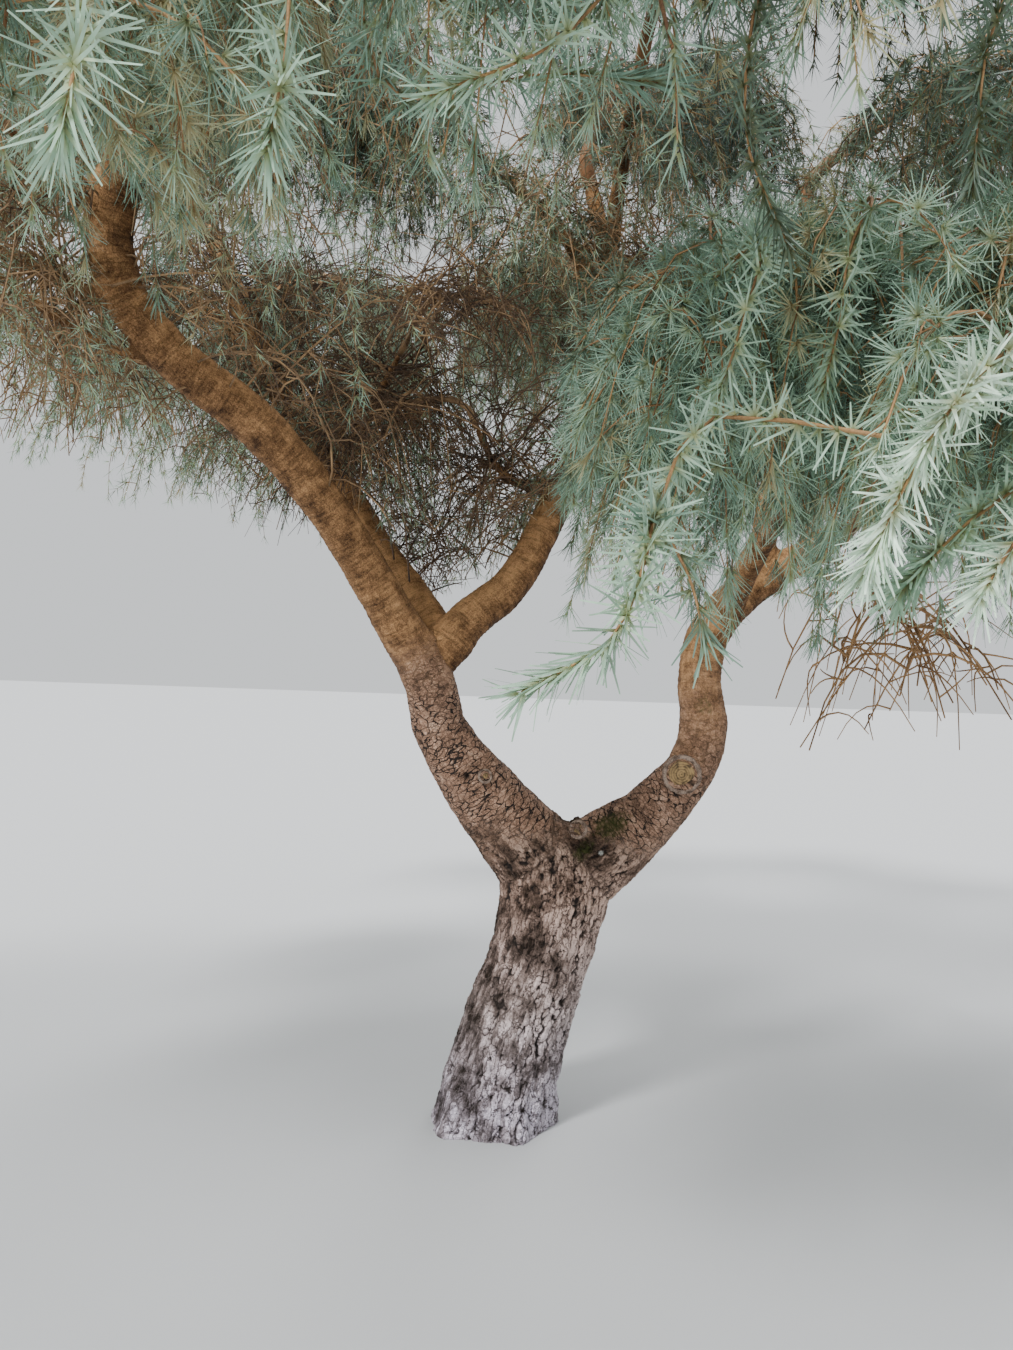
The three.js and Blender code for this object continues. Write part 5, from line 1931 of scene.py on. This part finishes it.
    def build(self) -> list[bpy.types.Object]:
        """Grows every mass and joins its twigs and needles by kind.

        Returns:
            The pieces, dressed.
        """
        for i, plan in enumerate(LEAFY_MASSES):
            self.grow_leafy(plan, FIRST_SEED + i)
        for i, plan in enumerate(BARE_MASSES):
            self.grow_bare(plan, FIRST_BARE_SEED + i)
        self.grow_on_limbs()
        self.grow_veil()
        pieces = []
        wood = (self.stem_wood, self.leafy_wood, self.bare_wood, self.shaded_wood)
        for store in (*wood, *self.needles.values()):
            pieces += store.pieces()
        return pieces


@dataclass
class Studio:
    """The camera of the portrait, a pale floor and soft light."""

    camera_place: Triple = (0, -3.2, 1.4)
    roll: float = 0.034
    lens: float = 27.04
    sensor: float = 36
    floor_size: float = 120
    floor_roughness: float = 0.95
    pale: Rgba = (0.55, 0.56, 0.57, 1)
    surround: Rgba = (0.92, 0.95, 0.97, 1)
    surround_strength: float = 0.95
    lamps: tuple[tuple[str, Triple, float, float], ...] = (
        ("key", (0.55, 0.70, -0.75), 3.5, 10),
        ("top", (-0.25, -0.15, -1.0), 1.8, 25),
        ("rim", (-0.4, -0.9, -0.6), 0.8, 25),
    )

    def camera(self) -> None:
        """Sets the camera at the photograph's viewing angle, level and slightly rolled."""
        data = bpy.data.cameras.new("portrait_camera")
        data.lens = self.lens
        data.sensor_width = self.sensor
        camera = bpy.data.objects.new("portrait_camera", data)
        bpy.context.scene.collection.objects.link(camera)
        c, s = math.cos(self.roll), math.sin(self.roll)
        turn = Matrix(((c, -s, 0), (0, 0, -1), (s, c, 0))).to_4x4()
        camera.matrix_world = Matrix.Translation(self.camera_place) @ turn
        bpy.context.scene.camera = camera

    def floor(self) -> None:
        """Lays a plain pale floor at ground level."""
        bpy.ops.mesh.primitive_plane_add(size=self.floor_size)
        floor = bpy.context.active_object
        floor.name = "floor"
        nodes = Nodes("floor_finish")
        nodes.shader.inputs["Base Color"].default_value = self.pale
        nodes.shader.inputs["Roughness"].default_value = self.floor_roughness
        floor.data.materials.append(nodes.material)

    def light(self) -> None:
        """Hangs soft lights and sets a pale surround."""
        for name, way, strength, spread in self.lamps:
            data = bpy.data.lights.new(name, "SUN")
            data.energy = strength
            data.angle = math.radians(spread)
            lamp = bpy.data.objects.new(name, data)
            lamp.rotation_euler = Vector(way).to_track_quat("-Z", "Y").to_euler()
            bpy.context.scene.collection.objects.link(lamp)
        world = bpy.data.worlds.new("surround")
        world.use_nodes = True
        background = world.node_tree.nodes["Background"]
        background.inputs["Color"].default_value = self.surround
        background.inputs["Strength"].default_value = self.surround_strength
        bpy.context.scene.world = world


def main() -> None:
    """Builds the studio, the bark and the crown, and reports each piece."""
    logging.basicConfig(level=logging.INFO, format="%(message)s")
    bpy.ops.object.select_all(action="DESELECT")
    studio = Studio()
    studio.camera()
    studio.floor()
    studio.light()
    wood = Wood()
    bark = wood.build() + wood.cut_faces().pieces() + wood.rims().pieces()
    crown = Crown(wood).build()
    wooden = ["trunk"] + [plan.name for plan in LIMBS]
    masses = [plan.name for plan in LEAFY_MASSES + BARE_MASSES]
    for piece in bark:
        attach(piece, "root")
        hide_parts(*wooden)
    for piece in crown:
        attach(piece, "root")
        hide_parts(*masses)
    total = 0
    for piece in bark + crown:
        triangles = sum(len(face.vertices) - 2 for face in piece.data.polygons)
        total += triangles
        log.info("%s: %d triangles", piece.name, triangles)
    log.info("in all: %d triangles", total)
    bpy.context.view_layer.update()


if __name__ == "__main__":
    main()
